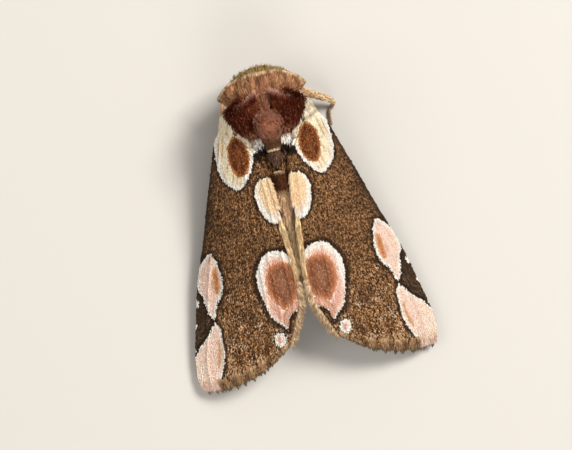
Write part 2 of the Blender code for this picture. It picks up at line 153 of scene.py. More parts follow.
# Materials.
def makeMaterial(name, finish, tintSource):
    made = bpy.data.materials.new(name)
    made.use_nodes = True
    tree = made.node_tree
    grain = addNode(tree, "ShaderNodeGroup", node_tree=grainGroup)
    feed(tree, grain, {"Tint": tintSource(tree), "Grain Scale": finish["grainScale"],
                       "Unevenness": finish["unevenness"], "Roughness": finish["roughness"]})
    bump = addNode(tree, "ShaderNodeBump", {"Strength": finish["bump"],
                                            "Distance": finish["bumpDepth"] * millimetre,
                                            "Height": grain.outputs["Height"]})
    feed(tree, tree.nodes["Principled BSDF"], {
        "Base Color": grain.outputs["Color"], "Roughness": grain.outputs["Roughness"],
        "Normal": bump.outputs["Normal"], "Specular IOR Level": finish["specular"]})
    return made


def layerTint(tree, name):
    return addNode(tree, "ShaderNodeAttribute", attribute_name=name).outputs["Color"]


def skinTint(tree):
    return layerTint(tree, "skinTint")


# Root tints are mostly darker copies of the tip tints: painted shade where the tufts overlap near their
# roots.
def tuftTint(tree):                   # each tuft runs from its root tint to its tip tint
    rise = addNode(tree, "ShaderNodeAttribute", attribute_name="rise").outputs["Fac"]
    return addNode(tree, "ShaderNodeMix", {"Factor": rise, "A": layerTint(tree, "rootTint"),
                                           "B": layerTint(tree, "tipTint")},
                   data_type="RGBA").outputs["Result"]


finishes = {
    "hair": {"grainScale": 9000, "unevenness": 0.35, "roughness": 0.72, "bump": 0.15,
             "bumpDepth": 0.02, "specular": 0.1},
    "scale": {"grainScale": 14000, "unevenness": 0.4, "roughness": 0.68, "bump": 0.2,
              "bumpDepth": 0.01, "specular": 0.14},
    "skin": {"grainScale": 6000, "unevenness": 0.6, "roughness": 0.8, "bump": 0.6,
             "bumpDepth": 0.05, "specular": 0.15},
    "eye": {"grainScale": 9000, "unevenness": 0.5, "roughness": 0.3, "bump": 0.3,
            "bumpDepth": 0.01, "specular": 0.3},
}
hairMaterial = makeMaterial("silky scale hair", finishes["hair"], tuftTint)
scaleMaterial = makeMaterial("dusty wing scales", finishes["scale"], tuftTint)
skinMaterial = makeMaterial("soft skin", finishes["skin"], skinTint)


# One tree lays any tuft, scale or feeler ring on its root points, along their lie.
tuftSeed = 5
unwrapPatch = 0.003                   # the share of the unwrap that one tuft spreads over


def makeTuftTree():
    tree, given = makeTree("layTufts", "GeometryNodeTree",
                           {"Roots": "Geometry", "Tuft": "Object", "Material": "Material",
                            "Size Scatter": "Float", "Lie Scatter": "Float"},
                           {"Tufts": "Geometry"})

    def named(name, kind="FLOAT_VECTOR"):
        return addNode(tree, "GeometryNodeInputNamedAttribute", {"Name": name},
                       data_type=kind).outputs["Attribute"]

    def scattered(amount, kind, middle):
        node = addNode(tree, "FunctionNodeRandomValue", {"Seed": tuftSeed}, data_type=kind)
        low, high = [s for s in node.inputs if s.enabled and s.name in ("Min", "Max")]
        for socket, sign in ((low, -1.0), (high, 1.0)):
            tree.links.new(addMath(tree, "MULTIPLY_ADD", amount, sign, middle), socket)
        return [s for s in node.outputs if s.enabled][0]

    lie = scattered(given["Lie Scatter"], "FLOAT_VECTOR", 0.0)
    size = scattered(given["Size Scatter"], "FLOAT", 1.0)
    turn = addNode(tree, "FunctionNodeAxesToRotation",
                   {"Primary Axis": addVectorMath(tree, "ADD", {0: named("lie"), 1: lie}),
                    "Secondary Axis": named("out")}, primary_axis="Y", secondary_axis="Z")
    wide = named("wide", "FLOAT")
    sizes = addNode(tree, "ShaderNodeCombineXYZ", {"X": wide, "Y": named("long", "FLOAT"),
                                                   "Z": wide}).outputs[0]
    points = addNode(tree, "GeometryNodeMeshToPoints", {"Mesh": given["Roots"]})
    tuft = addNode(tree, "GeometryNodeObjectInfo", {"Object": given["Tuft"]})
    spread = addNode(tree, "GeometryNodeInstanceOnPoints", {
        "Points": points.outputs["Points"], "Instance": tuft.outputs["Geometry"],
        "Rotation": turn.outputs["Rotation"],
        "Scale": addVectorMath(tree, "SCALE", {0: sizes, "Scale": size})})
    real = addNode(tree, "GeometryNodeRealizeInstances", {"Geometry": spread.outputs["Instances"]})

    middle = addVectorMath(tree, "SUBTRACT", {0: named("patch"), 1: (0.5, 0.5, 0.0)})
    small = addVectorMath(tree, "SCALE", {0: middle, "Scale": unwrapPatch})
    placed = addVectorMath(tree, "ADD", {0: small, 1: named("rootSpot")})
    last = addNode(tree, "GeometryNodeStoreNamedAttribute",
                   {"Geometry": real.outputs["Geometry"], "Name": "OFBake"},
                   data_type="FLOAT2", domain="CORNER")
    tree.links.new(placed, [s for s in last.inputs if s.name == "Value" and s.enabled][0])
    for spent in ("patch", "rootSpot", "lie", "out", "wide", "long"):
        last = addNode(tree, "GeometryNodeRemoveAttribute",
                       {"Geometry": last.outputs["Geometry"], "Name": spent})
    last = addNode(tree, "GeometryNodeSetMaterial", {"Geometry": last.outputs["Geometry"],
                                                     "Material": given["Material"]})
    addNode(tree, "NodeGroupOutput", {"Tufts": last.outputs["Geometry"]})
    return tree


tuftTree = makeTuftTree()


# Tuft shapes, one long and one wide: rings of (rise, width, height), closed at the tip.
def makeTuft(name, rings, sides, thickness, flatTip=False):
    corners, patches, faces = [], [], []
    for rise, width, height in rings:
        for k in range(sides):
            turn = 2 * math.pi * (k + 0.25) / sides
            corners.append((width / 2 * math.cos(turn), rise,
                            height + width / 2 * thickness * math.sin(turn)))
            patches.append((k / sides, 0.05 + 0.9 * rise))
    for row in range(len(rings) - 1):
        for k in range(sides):
            here, beside = row * sides + k, row * sides + (k + 1) % sides
            faces.append((here, here + sides, beside + sides, beside))
    faces.append(tuple(range(sides)))
    top = (len(rings) - 1) * sides
    if flatTip:
        faces.append(tuple(top + k for k in reversed(range(sides))))
    else:
        corners.append((0.0, 1.0, 0.0))
        patches.append((0.5, 0.95))
        faces += [(top + k, len(corners) - 1, top + (k + 1) % sides) for k in range(sides)]
    return templateObject(name, corners, faces, patches)


def makeScale(name, outline, crown):  # a flat scale: its outline, and a crown along its middle
    corners = [(x, y, 0.0) for x, y in outline] + [crown]
    count = len(outline)
    faces = [(k, (k + 1) % count, count) for k in range(count)] + [tuple(reversed(range(count)))]
    patches = [(0.5 + 0.8 * x, y) for x, y in outline] + [(0.5, crown[1])]
    return templateObject(name, corners, faces, patches)


def addLayer(mesh, name, kind, field, values):
    made = mesh.attributes.new(name, kind, "POINT")
    made.data.foreach_set(field, np.asarray(values, np.float32).ravel())


def addTintLayer(mesh, name, tints):
    addLayer(mesh, name, "FLOAT_COLOR", "color", stacked(*np.asarray(tints).T, 1.0))


def outwardMesh(name, corners, faces):   # its faces all look out
    mesh = bpy.data.meshes.new(name)
    mesh.from_pydata(corners, [], faces)
    work = bmesh.new()
    work.from_mesh(mesh)
    bmesh.ops.recalc_face_normals(work, faces=work.faces)
    work.to_mesh(mesh)
    work.free()
    return mesh


def addObject(name, data):
    made = bpy.data.objects.new(name, data)
    bpy.context.scene.collection.objects.link(made)
    return made


def templateObject(name, corners, faces, patches):
    mesh = outwardMesh(name, corners, faces)
    addLayer(mesh, "rise", "FLOAT", "value", [min(1.0, corner[1]) for corner in corners])
    layer = mesh.attributes.new("patch", "FLOAT2", "CORNER")
    for loop in mesh.loops:
        layer.data[loop.index].vector = patches[loop.vertex_index]
    mesh.shade_smooth()
    return bpy.data.objects.new(name, mesh)


tufts = {
    "hair": makeTuft("hairTuft", [(0.0, 0.6, 0.0), (0.35, 1.0, 0.55), (0.7, 0.75, 0.6)], 3, 0.5),
    "plainHair": makeTuft("plainHairTuft", [(0.0, 0.7, 0.0), (0.45, 1.0, 0.5)], 3, 0.5),
    "ring": makeTuft("feelerRing", [(0.0, 0.8, 0.0), (0.15, 0.95, 0.0), (0.85, 1.0, 0.0),
                                    (1.0, 0.85, 0.0)], 8, 1.0, flatTip=True),
    "scale": makeScale("wingScale", [(-0.2, 0.0), (0.2, 0.0), (0.5, 0.62), (0.0, 1.05),
                                     (-0.5, 0.62)], (0.0, 0.6, 0.12)),
}


# A coat is a list of roots: where they are, which way they lie, their sizes and their tints.
# root is mostly a darker copy of tip: painted shade at the tufts' roots.
def makeCoat(spot, out, lie, wide, long, root, tip, unwrap):
    count = len(spot)
    return {"spot": spot, "out": unit(out), "lie": unit(lie),
            "wide": np.broadcast_to(wide, count).astype(float),
            "long": np.broadcast_to(long, count).astype(float),
            "rootTint": np.broadcast_to(root, (count, 3)).astype(float),
            "tipTint": np.broadcast_to(tip, (count, 3)).astype(float), "rootSpot": unwrap}


def mirroredCoat(coat):
    flip = np.array([-1.0, 1.0, 1.0])
    other = dict(coat)
    for key in ("spot", "out", "lie"):
        other[key] = coat[key] * flip
    return other


def joinedCoats(*coats):              # each coat gets its own strip of the unwrap
    joined = {key: np.concatenate([coat[key] for coat in coats]) for key in coats[0]}
    strips = [stacked((coat["rootSpot"][:, 0] + i) / len(coats), coat["rootSpot"][:, 1])
              for i, coat in enumerate(coats)]
    joined["rootSpot"] = np.concatenate(strips)
    return joined


def keptRoots(coat, keep):
    return {key: value[keep] for key, value in coat.items()}


allRoots = []                         # every body coat, for the tint of the skin below


def clumped(coat, size=0.22, bend=0.35, shade=0.4):   # hair gathers in clumps, light and dark
    for i, spot in enumerate(coat["spot"]):
        place = Vector(spot / size)
        coat["lie"][i] += bend * np.array(noise.noise_vector(place))
        deep = 1 + shade * noise.noise(Vector(spot / size * 1.7) + Vector((9.0, 4.0, 2.0)))
        coat["tipTint"][i] *= deep
        coat["rootTint"][i] *= deep
    coat["lie"] = unit(coat["lie"])
    return coat


def layCoat(name, coat, tuft, material, slot, replaced=(), sizeScatter=0.2, lieScatter=0.1):
    count = len(coat["spot"])
    mesh = bpy.data.meshes.new(name + "Roots")
    mesh.vertices.add(count)
    mesh.vertices.foreach_set("co", toFrame(coat["spot"]).astype(np.float32).ravel())
    for key in ("out", "lie"):
        addLayer(mesh, key, "FLOAT_VECTOR", "vector", coat[key])
    for key in ("wide", "long"):
        addLayer(mesh, key, "FLOAT", "value", coat[key] * millimetre)
    for key in ("rootTint", "tipTint"):
        addTintLayer(mesh, key, np.clip(coat[key], 0, 1))
    across, along = 0.004 + 0.992 * coat["rootSpot"].T
    addLayer(mesh, "rootSpot", "FLOAT_VECTOR", "vector", stacked(across, along, 0.0))
    roots = addObject(name + "Roots", mesh)
    modifier = roots.modifiers.new("tufts", "NODES")
    modifier.node_group = tuftTree
    values = {"Tuft": tufts[tuft], "Material": material, "Size Scatter": sizeScatter,
              "Lie Scatter": lieScatter}
    for item in tuftTree.interface.items_tree:
        if item.name in values:
            modifier[item.identifier] = values[item.name]
    made = shapedMesh(roots, name)
    bpy.data.objects.remove(roots, do_unlink=True)
    finishPiece(addObject(name, made), slot, replaced)
    print(name, count, "roots,", sum(len(p.vertices) - 2 for p in made.polygons), "triangles")


def shapedMesh(piece, name):          # the mesh that an object's modifiers give
    piece.update_tag()
    made = bpy.data.meshes.new_from_object(
        piece.evaluated_get(bpy.context.evaluated_depsgraph_get()))
    made.name = name
    return made


def finishPiece(piece, slot, replaced=()):
    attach(piece, "root")
    if replaced:
        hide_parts(*replaced)


# Closed meshes from grids of points.
def closedSheet(upper, lower):        # two grids of equal size, joined round their edges
    rows, across = upper.shape[:2]
    corners = np.concatenate([upper.reshape(-1, 3), lower.reshape(-1, 3)])
    below = rows * across
    faces = []
    for i in range(rows - 1):
        for j in range(across - 1):
            a = i * across + j
            faces.append((a, a + across, a + across + 1, a + 1))
            faces.append((below + a, below + a + 1, below + a + across + 1, below + a + across))
    edge = list(range(across)) + [i * across + across - 1 for i in range(1, rows)]
    edge += [(rows - 1) * across + j for j in range(across - 2, -1, -1)]
    edge += [i * across for i in range(rows - 2, 0, -1)]
    for here, there in zip(edge, edge[1:] + edge[:1]):
        faces.append((here, there, below + there, below + here))
    return corners, faces


def closedTube(rings):                # rings of points, with flat ends
    count = rings.shape[1]
    total = rings.shape[0] * count
    faces = [tuple(range(count)), tuple(range(total - count, total))]
    for row in range(rings.shape[0] - 1):
        for k in range(count):
            here, beside = row * count + k, row * count + (k + 1) % count
            faces.append((here, beside, beside + count, here + count))
    return rings.reshape(-1, 3), faces


def meshObject(name, corners, faces, material=None, tints=None, scale=millimetre):
    placed = toFrame(corners) * (scale / millimetre)
    mesh = outwardMesh(name, placed.tolist(), faces)
    if tints is not None:
        addTintLayer(mesh, "skinTint", np.clip(tints, 0, 1))
    if material:
        mesh.materials.append(material)
    mesh.shade_smooth()
    return addObject(name, mesh)


def ringGrid(ends, rings, sides):     # a share along, and a turn round, for each point of a tube
    return np.meshgrid(np.linspace(*ends, rings), np.arange(sides) * 2 * math.pi / sides,
                       indexing="ij")


def ballRings(rings, sides, pole):
    slant, turn = ringGrid((pole, math.pi - pole), rings, sides)
    return stacked(np.sin(slant) * np.cos(turn), np.sin(slant) * np.sin(turn), np.cos(slant))


# The wings. A forewing's upper face: u runs from root to outer edge, v from front to inner edge.
wing = {
    "frontEdge": [(2.85, 2.85, 3.6), (3.5, 3.7, 3.2), (4.1, 5.3, 2.6), (4.85, 7.4, 1.95),
                  (5.6, 9.7, 1.4), (6.5, 12.2, 1.05), (7.2, 14.9, 0.85), (7.65, 17.0, 0.7),
                  (7.72, 18.1, 0.65), (7.4, 19.05, 0.6)],
    "innerEdge": [(1.95, 3.9, 4.5), (0.9, 5.6, 4.95), (0.66, 7.2, 5.05), (0.45, 9.6, 4.95),
                  (0.3, 12.0, 4.6), (0.28, 14.5, 4.1), (0.7, 15.7, 3.55), (1.3, 16.9, 2.95)],
    "marginBulge": 0.8, "marginOut": (-0.27, 0.96, 0.0), "archFlat": 0.35, "archPower": 2.2,
    "skinDepth": 0.07,        # how far the skin lies below the solid's face, for the scales
    "thickness": 0.12, "skinEnd": 0.965, "rootsEnd": 0.985, "length": 16.6,
    "rows": 130, "columns": 96,
    "veins": [(0.17, 0.10, 0.0), (0.29, 0.26, 0.5), (0.40, 0.41, 0.5), (0.50, 0.56, 0.5),
              (0.62, 0.70, 0.0), (0.70, 0.82, 0.32), (0.88, 0.93, 0.0)],
    "veinRise": 0.055, "veinWidth": 0.1, "cellEnd": 0.5,
    "scaleStep": (0.07, 0.062), "scaleSize": (0.092, 0.175),
    "underStep": (0.2, 0.18), "underSize": (0.24, 0.42),
}


def wingSpot(u, v):
    front = smoothLine(wing["frontEdge"], u)
    back = smoothLine(wing["innerEdge"], u)
    spot = front + (back - front) * v[..., None]
    bulge = wing["marginBulge"] * u**5 * (4 * v * (1 - v)).clip(0) ** 0.9
    spot = spot + np.array(wing["marginOut"]) * bulge[..., None]
    t = 1 - v
    slope = wing["archFlat"] * t + (1 - wing["archFlat"]) * t ** wing["archPower"]
    spot[..., 2] = back[..., 2] - (back[..., 2] - front[..., 2]) * slope
    return spot


def wingOut(u, v, step=0.05):
    u = np.clip(u, 2 * step, 1 - 2 * step)
    v = np.clip(v, 2 * step, 1 - 2 * step)
    outward = wingSpot(u + step, v) - wingSpot(u - step, v)
    inward = wingSpot(u, v + step) - wingSpot(u, v - step)
    return unit(np.cross(outward, inward))


def wingLie(u, v):                    # along the veins, towards the outer edge
    return unit(wingSpot(np.minimum(u + 0.03, 1.02), v) - wingSpot(u - 0.03, v))


def veinRidge(u, v):
    width = np.linalg.norm(wingSpot(u, v * 0) - wingSpot(u, v * 0 + 1), axis=-1)
    rise = u * 0
    for place, end, start in wing["veins"]:
        off = (v - (place + (end - place) * u)) * width / wing["veinWidth"]
        rise = np.maximum(rise, np.exp(-off**2) * (u >= start))
    first, last = wing["veins"][0], wing["veins"][4]
    across = (v > first[0]) & (v < last[1])
    off = (u - wing["cellEnd"]) * wing["length"] / wing["veinWidth"]
    return wing["veinRise"] * np.maximum(rise, np.exp(-off**2) * across)


# The wing's markings, as outlines in x and y seen from above, and bands of tint inward from
# each outline. Centres lie inside their spots and come after them.
white, cream, peach = tint(255, 249, 240), tint(255, 240, 212), tint(255, 218, 172)
pink, rose, orange = tint(255, 222, 205), tint(240, 184, 162), tint(204, 134, 78)
rust, soot = tint(122, 56, 22), tint(34, 20, 11)
markings = [
    {"outline": [(0.25, 4.6), (0.25, 5.45), (0.7, 5.7), (1.15, 5.62), (1.45, 5.4), (1.5, 4.8),
                 (1.0, 4.5)],
     "bands": [(0.0, tint(66, 44, 28)), (0.14, soot)]},
    {"outline": [(2.3, 2.6), (3.2, 2.5), (3.5, 3.4), (3.62, 4.4), (3.66, 5.4), (3.45, 6.35),
                 (3.0, 6.8), (2.65, 7.08), (2.25, 6.85), (1.8, 6.35), (1.42, 5.6), (1.25, 5.05),
                 (0.7, 4.85), (0.8, 4.2), (1.8, 3.2)],
     "bands": [(0.0, white), (0.15, white), (0.36, cream), (0.9, cream)], "border": 0.22,
     "streak": (tint(212, 166, 100), 0.78)},
    {"outline": [(2.2, 3.7), (2.72, 4.2), (2.88, 4.95), (2.8, 5.7), (2.46, 6.3), (1.98, 6.2),
                 (1.6, 5.62), (1.54, 4.9), (1.74, 4.2)],
     "bands": [(0.0, tint(226, 172, 110)), (0.09, tint(154, 94, 48)), (0.2, tint(92, 42, 17)),
               (0.4, tint(98, 48, 21)), (0.75, tint(132, 74, 36))],
     "fleck": (tint(166, 104, 58), 0.28)},
    {"outline": [(2.5, 3.1), (2.75, 3.3), (2.65, 3.55), (2.4, 3.4)],
     "bands": [(0.0, tint(170, 122, 76)), (0.1, rust)]},
    {"outline": [(1.2, 6.72), (0.5, 6.8), (0.2, 7.6), (0.1, 9.45), (0.75, 9.55), (1.2, 9.28),
                 (1.55, 8.75), (1.68, 8.15), (1.7, 7.4), (1.48, 6.92)],
     "bands": [(0.0, white), (0.2, white), (0.4, tint(245, 222, 202))], "border": 0.24},
    {"outline": [(1.25, 6.74), (0.45, 6.8), (0.3, 7.6), (0.32, 8.6), (0.8, 8.85), (1.25, 8.4),
                 (1.48, 7.7), (1.4, 7.0)],
     "bands": [(0.0, tint(246, 224, 196)), (0.12, peach), (0.5, tint(250, 210, 164))],
     "fleck": (tint(248, 226, 196), 0.3)},
    {"outline": [(5.2, 10.5), (4.98, 11.1), (4.86, 11.8), (4.86, 12.5), (5.02, 13.15), (5.4, 13.6),
                 (5.65, 14.1), (5.82, 14.62), (6.05, 14.4), (6.2, 13.8), (6.3, 13.1),
                 (6.48, 12.7), (6.45, 12.1), (6.33, 11.6), (6.05, 11.15), (5.6, 10.7)],
     "bands": [(0.0, white), (0.12, white), (0.24, pink), (0.8, pink)], "border": 0.24,
     "streak": (tint(222, 176, 152), 0.6)},
    {"outline": [(5.06, 11.3), (5.36, 11.6), (5.48, 12.4), (5.46, 13.05), (5.22, 13.1),
                 (5.04, 12.6), (4.98, 11.9)],
     "bands": [(0.0, tint(242, 200, 172)), (0.16, orange)]},
    {"outline": [(5.85, 14.85), (5.6, 15.15), (5.6, 15.9), (5.64, 16.65), (5.8, 17.4),
                 (6.02, 17.9), (6.25, 18.4), (6.5, 19.3), (7.3, 19.5), (7.9, 18.9), (7.95, 18.1),
                 (7.85, 17.4), (7.75, 17.0), (7.55, 16.7), (7.2, 16.25), (6.85, 15.9),
                 (6.4, 15.5), (6.1, 15.05)],
     "bands": [(0.0, white), (0.12, tint(255, 236, 222)), (0.3, pink), (1.0, pink)],
     "border": 0.24, "streak": (tint(244, 208, 188), 0.45)},
    {"outline": [(6.6, 18.2), (6.9, 16.5), (7.3, 16.6), (7.8, 17.3), (7.95, 18.2), (7.7, 19.2),
                 (6.9, 19.4)],
     "bands": [(0.0, tint(255, 222, 204)), (0.35, tint(255, 230, 212))]},
    {"outline": [(5.78, 15.9), (5.95, 16.0), (6.1, 16.8), (6.3, 17.6), (6.2, 17.75),
                 (5.98, 17.3), (5.8, 16.6)],
     "bands": [(0.0, tint(244, 208, 182)), (0.12, tint(214, 164, 122))]},
    {"outline": [(0.0, 12.2), (0.5, 11.55), (0.9, 11.25), (1.45, 11.15), (1.97, 11.3),
                 (2.35, 11.75), (2.6, 12.25), (2.72, 12.85), (2.7, 13.5), (2.5, 14.35),
                 (2.35, 15.0), (2.05, 15.5), (1.7, 15.8), (1.45, 16.1), (1.25, 15.4),
                 (0.5, 14.9), (0.0, 14.4)],
     "bands": [(0.0, white), (0.24, white), (0.44, pink), (0.7, rose)], "border": 0.4},
    {"outline": [(2.42, 13.3), (2.5, 13.8), (2.3, 14.9), (2.0, 15.45), (1.62, 15.75), (1.35, 15.4),
                 (1.6, 14.6), (2.1, 13.8)],
     "bands": [(0.0, tint(246, 220, 208)), (0.1, pink), (0.3, rose)]},
    {"outline": [(0.25, 14.4), (0.5, 14.86), (1.22, 15.36), (1.42, 15.96), (1.66, 15.6),
                 (1.45, 15.0), (0.9, 14.6)],
     "bands": [(0.0, tint(196, 148, 122)), (0.1, tint(228, 176, 152)), (0.25, rose)]},
    {"outline": [(0.2, 12.8), (0.42, 12.2), (0.85, 11.9), (1.45, 11.88), (1.85, 12.1),
                 (2.12, 12.6), (2.2, 13.3), (2.12, 13.9), (1.8, 14.45), (1.45, 14.85),
                 (1.0, 14.7), (0.5, 14.35), (0.25, 13.7)],
     "bands": [(0.0, tint(244, 188, 158)), (0.12, tint(212, 138, 94)), (0.32, tint(162, 100, 64)),
               (0.5, tint(140, 86, 56)), (0.9, tint(154, 106, 78))],
     "fleck": (tint(186, 134, 106), 0.25)},
    {"outline": [(1.8, 16.3), (2.2, 16.2), (2.42, 16.5), (2.3, 16.95), (1.9, 17.05), (1.72, 16.7)],
     "bands": [(0.0, white), (0.12, white), (0.3, rose)], "border": 0.1},
    {"outline": [(6.55, 13.35), (6.75, 13.3), (6.95, 13.6), (6.8, 13.7)], "bands": [(0.0, white)]},
    {"outline": [(7.0, 14.65), (7.14, 14.6), (7.3, 14.95), (7.14, 15.0)], "bands": [(0.0, white)]},
    {"outline": [(7.4, 16.05), (7.52, 16.0), (7.66, 16.35), (7.5, 16.4)], "bands": [(0.0, white)]},
]


def depthInside(outline, x, y):       # distance in from a smooth closed outline, below 0 outside
    looped = outline + outline[:1]
    line = smoothLine([(a, b, 0.0) for a, b in looped], np.linspace(0, 1, 5 * len(outline) + 1))
    nearest = np.full(len(x), 1e9)
    inside = np.zeros(len(x), bool)
    for start, end in zip(line[:-1, :2], line[1:, :2]):
        span = end - start
        along = ((x - start[0]) * span[0] + (y - start[1]) * span[1]) / max(span @ span, 1e-9)
        along = np.clip(along, 0, 1)
        nearest = np.minimum(nearest, np.hypot(x - start[0] - along * span[0],
                                               y - start[1] - along * span[1]))
        crosses = (start[1] > y) != (end[1] > y)
        reach = start[0] + (y - start[1]) * span[0] / (span[1] if abs(span[1]) > 1e-9 else 1e-9)
        inside ^= crosses & (x < reach)
    return np.where(inside, nearest, -nearest)


ground = {
    "fleckTints": (tint(180, 134, 90), tint(103, 69, 41), tint(48, 32, 19)),
    "fleckShares": (0.08, 0.5, 0.9),  # golden up to the first, brown at the second, dark at the last
    "patchSize": 1.4, "fineSize": 0.25, "ragged": 0.025, "paleTint": tint(214, 184, 152),
    "costaTint": tint(52, 36, 24), "lunuleTint": tint(206, 164, 118), "lunuleDepth": 0.95,
}


def streaks(x, y):                    # 0 to 1, in fine lines along the wing
    return np.clip(patchy(x * 6 - y * 1.6, y, 0.8, 7.0) * 3 - 0.3, 0, 1)


def wingTints(x, y, u, v, uneven=1.0):
    golden, brown, dark = ground["fleckTints"]
    level = chance.random(len(x)) * uneven + 0.5 * (1 - uneven)
    level = level - 0.1 * patchy(x, y, ground["patchSize"]) - 0.15 * patchy(x, y, ground["fineSize"])
    low, middle, high = ground["fleckShares"]
    tints = blendTints(blendTints(golden, brown, (level - low) / (middle - low)), dark,
                       (level - middle) / (high - middle))
    pale = np.clip((y - 12.5) / 4, 0, 1) * np.clip(0.3 + 1.5 * patchy(x, y, 0.8, 3.0), 0, 1)
    tints = blendTints(tints, ground["paleTint"], 0.8 * (chance.random(len(x)) < 0.3 * pale) * uneven)
    tints = tints * (1 + 0.35 * patchy(x, y, 1.1, 6.0) + 0.2 * np.clip((y - 11) / 6, 0, 1)
                     - 0.25 * np.clip((0.25 - v) / 0.2, 0, 1))[:, None]
    fromMargin = (1 - u) * wing["length"]
    cell = np.cos(2 * math.pi * 8 * v + 0.6)
    lunule = np.exp(-((fromMargin - ground["lunuleDepth"] - 0.15 * cell) / 0.14) ** 2)
    lunule = lunule * (v > 0.2) * (v < 0.9) * (cell > -0.6)
    tints = blendTints(tints, ground["lunuleTint"], 0.7 * lunule * (level < 0.75))
    costa = np.clip((0.05 - v) / 0.02, 0, 1) * (y > 3.6)
    costa = np.maximum(costa, np.clip((0.17 - v) / 0.03, 0, 1) * (y > 12.9))
    tints = blendTints(tints, ground["costaTint"], 0.8 * costa)
    for marking in markings:
        depth = depthInside(marking["outline"], x, y)
        if "border" in marking:
            near = 1 + depth / marking["border"]
            tints = blendTints(tints, soot, np.clip(near * 1.4, 0, 0.85) * (depth < 0))
        depth = depth + chance.normal(0, ground["ragged"], len(x)) * uneven
        reach = [band[0] for band in marking["bands"]]
        filled = stacked(*(np.interp(depth, reach, [band[1][k] for band in marking["bands"]])
                           for k in range(3)))
        if "streak" in marking:
            paint, share = marking["streak"]
            filled = blendTints(filled, paint, share * streaks(x, y) * np.clip(depth * 4, 0, 1))
        if "fleck" in marking:
            paint, share = marking["fleck"]
            filled = blendTints(filled, paint, 0.8 * (chance.random(len(x)) < share) * uneven)
        tints = np.where((depth > 0)[:, None], filled, tints)
    return tints


def wingRoots(step):                  # rows of roots, from the wing's root to its outer edge
    rows = int(wing["length"] * wing["rootsEnd"] / step[0])
    allU, allV = [], []
    for i in range(rows):
        u = wing["rootsEnd"] * (i + 0.5) / rows
        across = np.linalg.norm(wingSpot(np.array(u), np.array(0.0))
                                - wingSpot(np.array(u), np.array(1.0)))
        count = max(8, int(across * 1.05 / step[1]))
        v = (np.arange(count) + 0.5 + chance.uniform(-0.35, 0.35, count)) / count
        allU.append(u + chance.uniform(-0.4, 0.4, count) * step[0] / wing["length"])
        allV.append(v)
    return np.concatenate(allU).clip(0, 1), np.concatenate(allV).clip(0, 1)


def forewingCoat():
    u, v = wingRoots(wing["scaleStep"])
    out, lie = wingOut(u, v), wingLie(u, v)
    spot = wingSpot(u, v) - out * (wing["skinDepth"] - veinRidge(u, v) + 0.01)[:, None]
    seen = spot + lie * wing["scaleSize"][1] * 0.7
    tips = wingTints(seen[:, 0], seen[:, 1], u, v)
    tips = tips * chance.normal(1, 0.1, len(u)).clip(0.6, 1.4)[:, None]
    length = wing["scaleSize"][1] * np.minimum(1, (1.0 - u) * 6 + 0.75)
    lie = leaned(lie + 0.08 * chance.normal(size=lie.shape), out, chance.uniform(0.12, 0.32, len(u)))
    # The roots are painted darker than the tips: shade where each scale lies under the next one.
    return makeCoat(spot, out, lie, wing["scaleSize"][0], length, tips * 0.6, tips, stacked(u, v))


def forewingUnderCoat():
    u, v = wingRoots(wing["underStep"])
    out, lie = -wingOut(u, v), wingLie(u, v)
    spot = wingSpot(u, v) + out * (wing["skinDepth"] + wing["thickness"] - 0.01)
    tips = blendTints(tint(120, 104, 84), tint(160, 142, 116), chance.random(len(u)))
    lie = leaned(lie, out, chance.uniform(0.08, 0.16, len(u)))
    # Darker roots: painted shade where the scales overlap.
    return makeCoat(spot, out, lie, wing["underSize"][0], wing["underSize"][1], tips * 0.7, tips,
                    stacked(u, v))


def wingSkin(name, surface, normal, ridge, tintsOf, side):
    u, v = np.meshgrid(np.linspace(0, wing["skinEnd"], wing["rows"] + 1),
                       np.linspace(0, 0.99, wing["columns"] + 1), indexing="ij")
    flatU, flatV = u.ravel(), v.ravel()
    out = normal(flatU, flatV)
    top = surface(flatU, flatV) - out * (wing["skinDepth"] - ridge(flatU, flatV))[:, None]
    low = surface(flatU, flatV) - out * (wing["skinDepth"] + wing["thickness"])
    tints = tintsOf(top[:, 0], top[:, 1], flatU, flatV)
    shape = u.shape + (3,)
    mirror = np.array([side, 1.0, 1.0])
    corners, faces = closedSheet((top * mirror).reshape(shape), (low * mirror).reshape(shape))
    # The lower face takes the upper face's tints, darker: painted shade on the face that looks down.
    return meshObject(name, corners, faces, skinMaterial, np.concatenate([tints, tints * 0.8]))


hindwing = {"drop": 0.88, "rootShare": 0.17, "thickness": 0.12, "scaleStep": (0.17, 0.17),
            "scaleSize": (0.26, 0.45), "tint": tint(150, 134, 112), "edgeTint": tint(104, 90, 74)}


def hindwingPlace(a, b):              # a patch of the forewing's surface, lowered by the drop
    reach = 0.80 + 0.12 * (4 * b * (1 - b)).clip(0) ** 0.7 + 0.08 * b
    u = hindwing["rootShare"] + a * (reach - hindwing["rootShare"])
    front = 0.78 - 0.48 * a
    return u, front + (0.945 - front) * b


def hindwingSpot(a, b):
    u, v = hindwingPlace(a, b)
    return wingSpot(u, v) - wingOut(u, v) * hindwing["drop"]


def hindwingOut(a, b):
    return wingOut(*hindwingPlace(a, b))


def hindwingTints(x, y, a, b):
    tints = blendTints(hindwing["tint"], hindwing["edgeTint"], (a - 0.45) * 2)
    return tints * (1 + 0.12 * patchy(x, y, 0.5))[:, None]


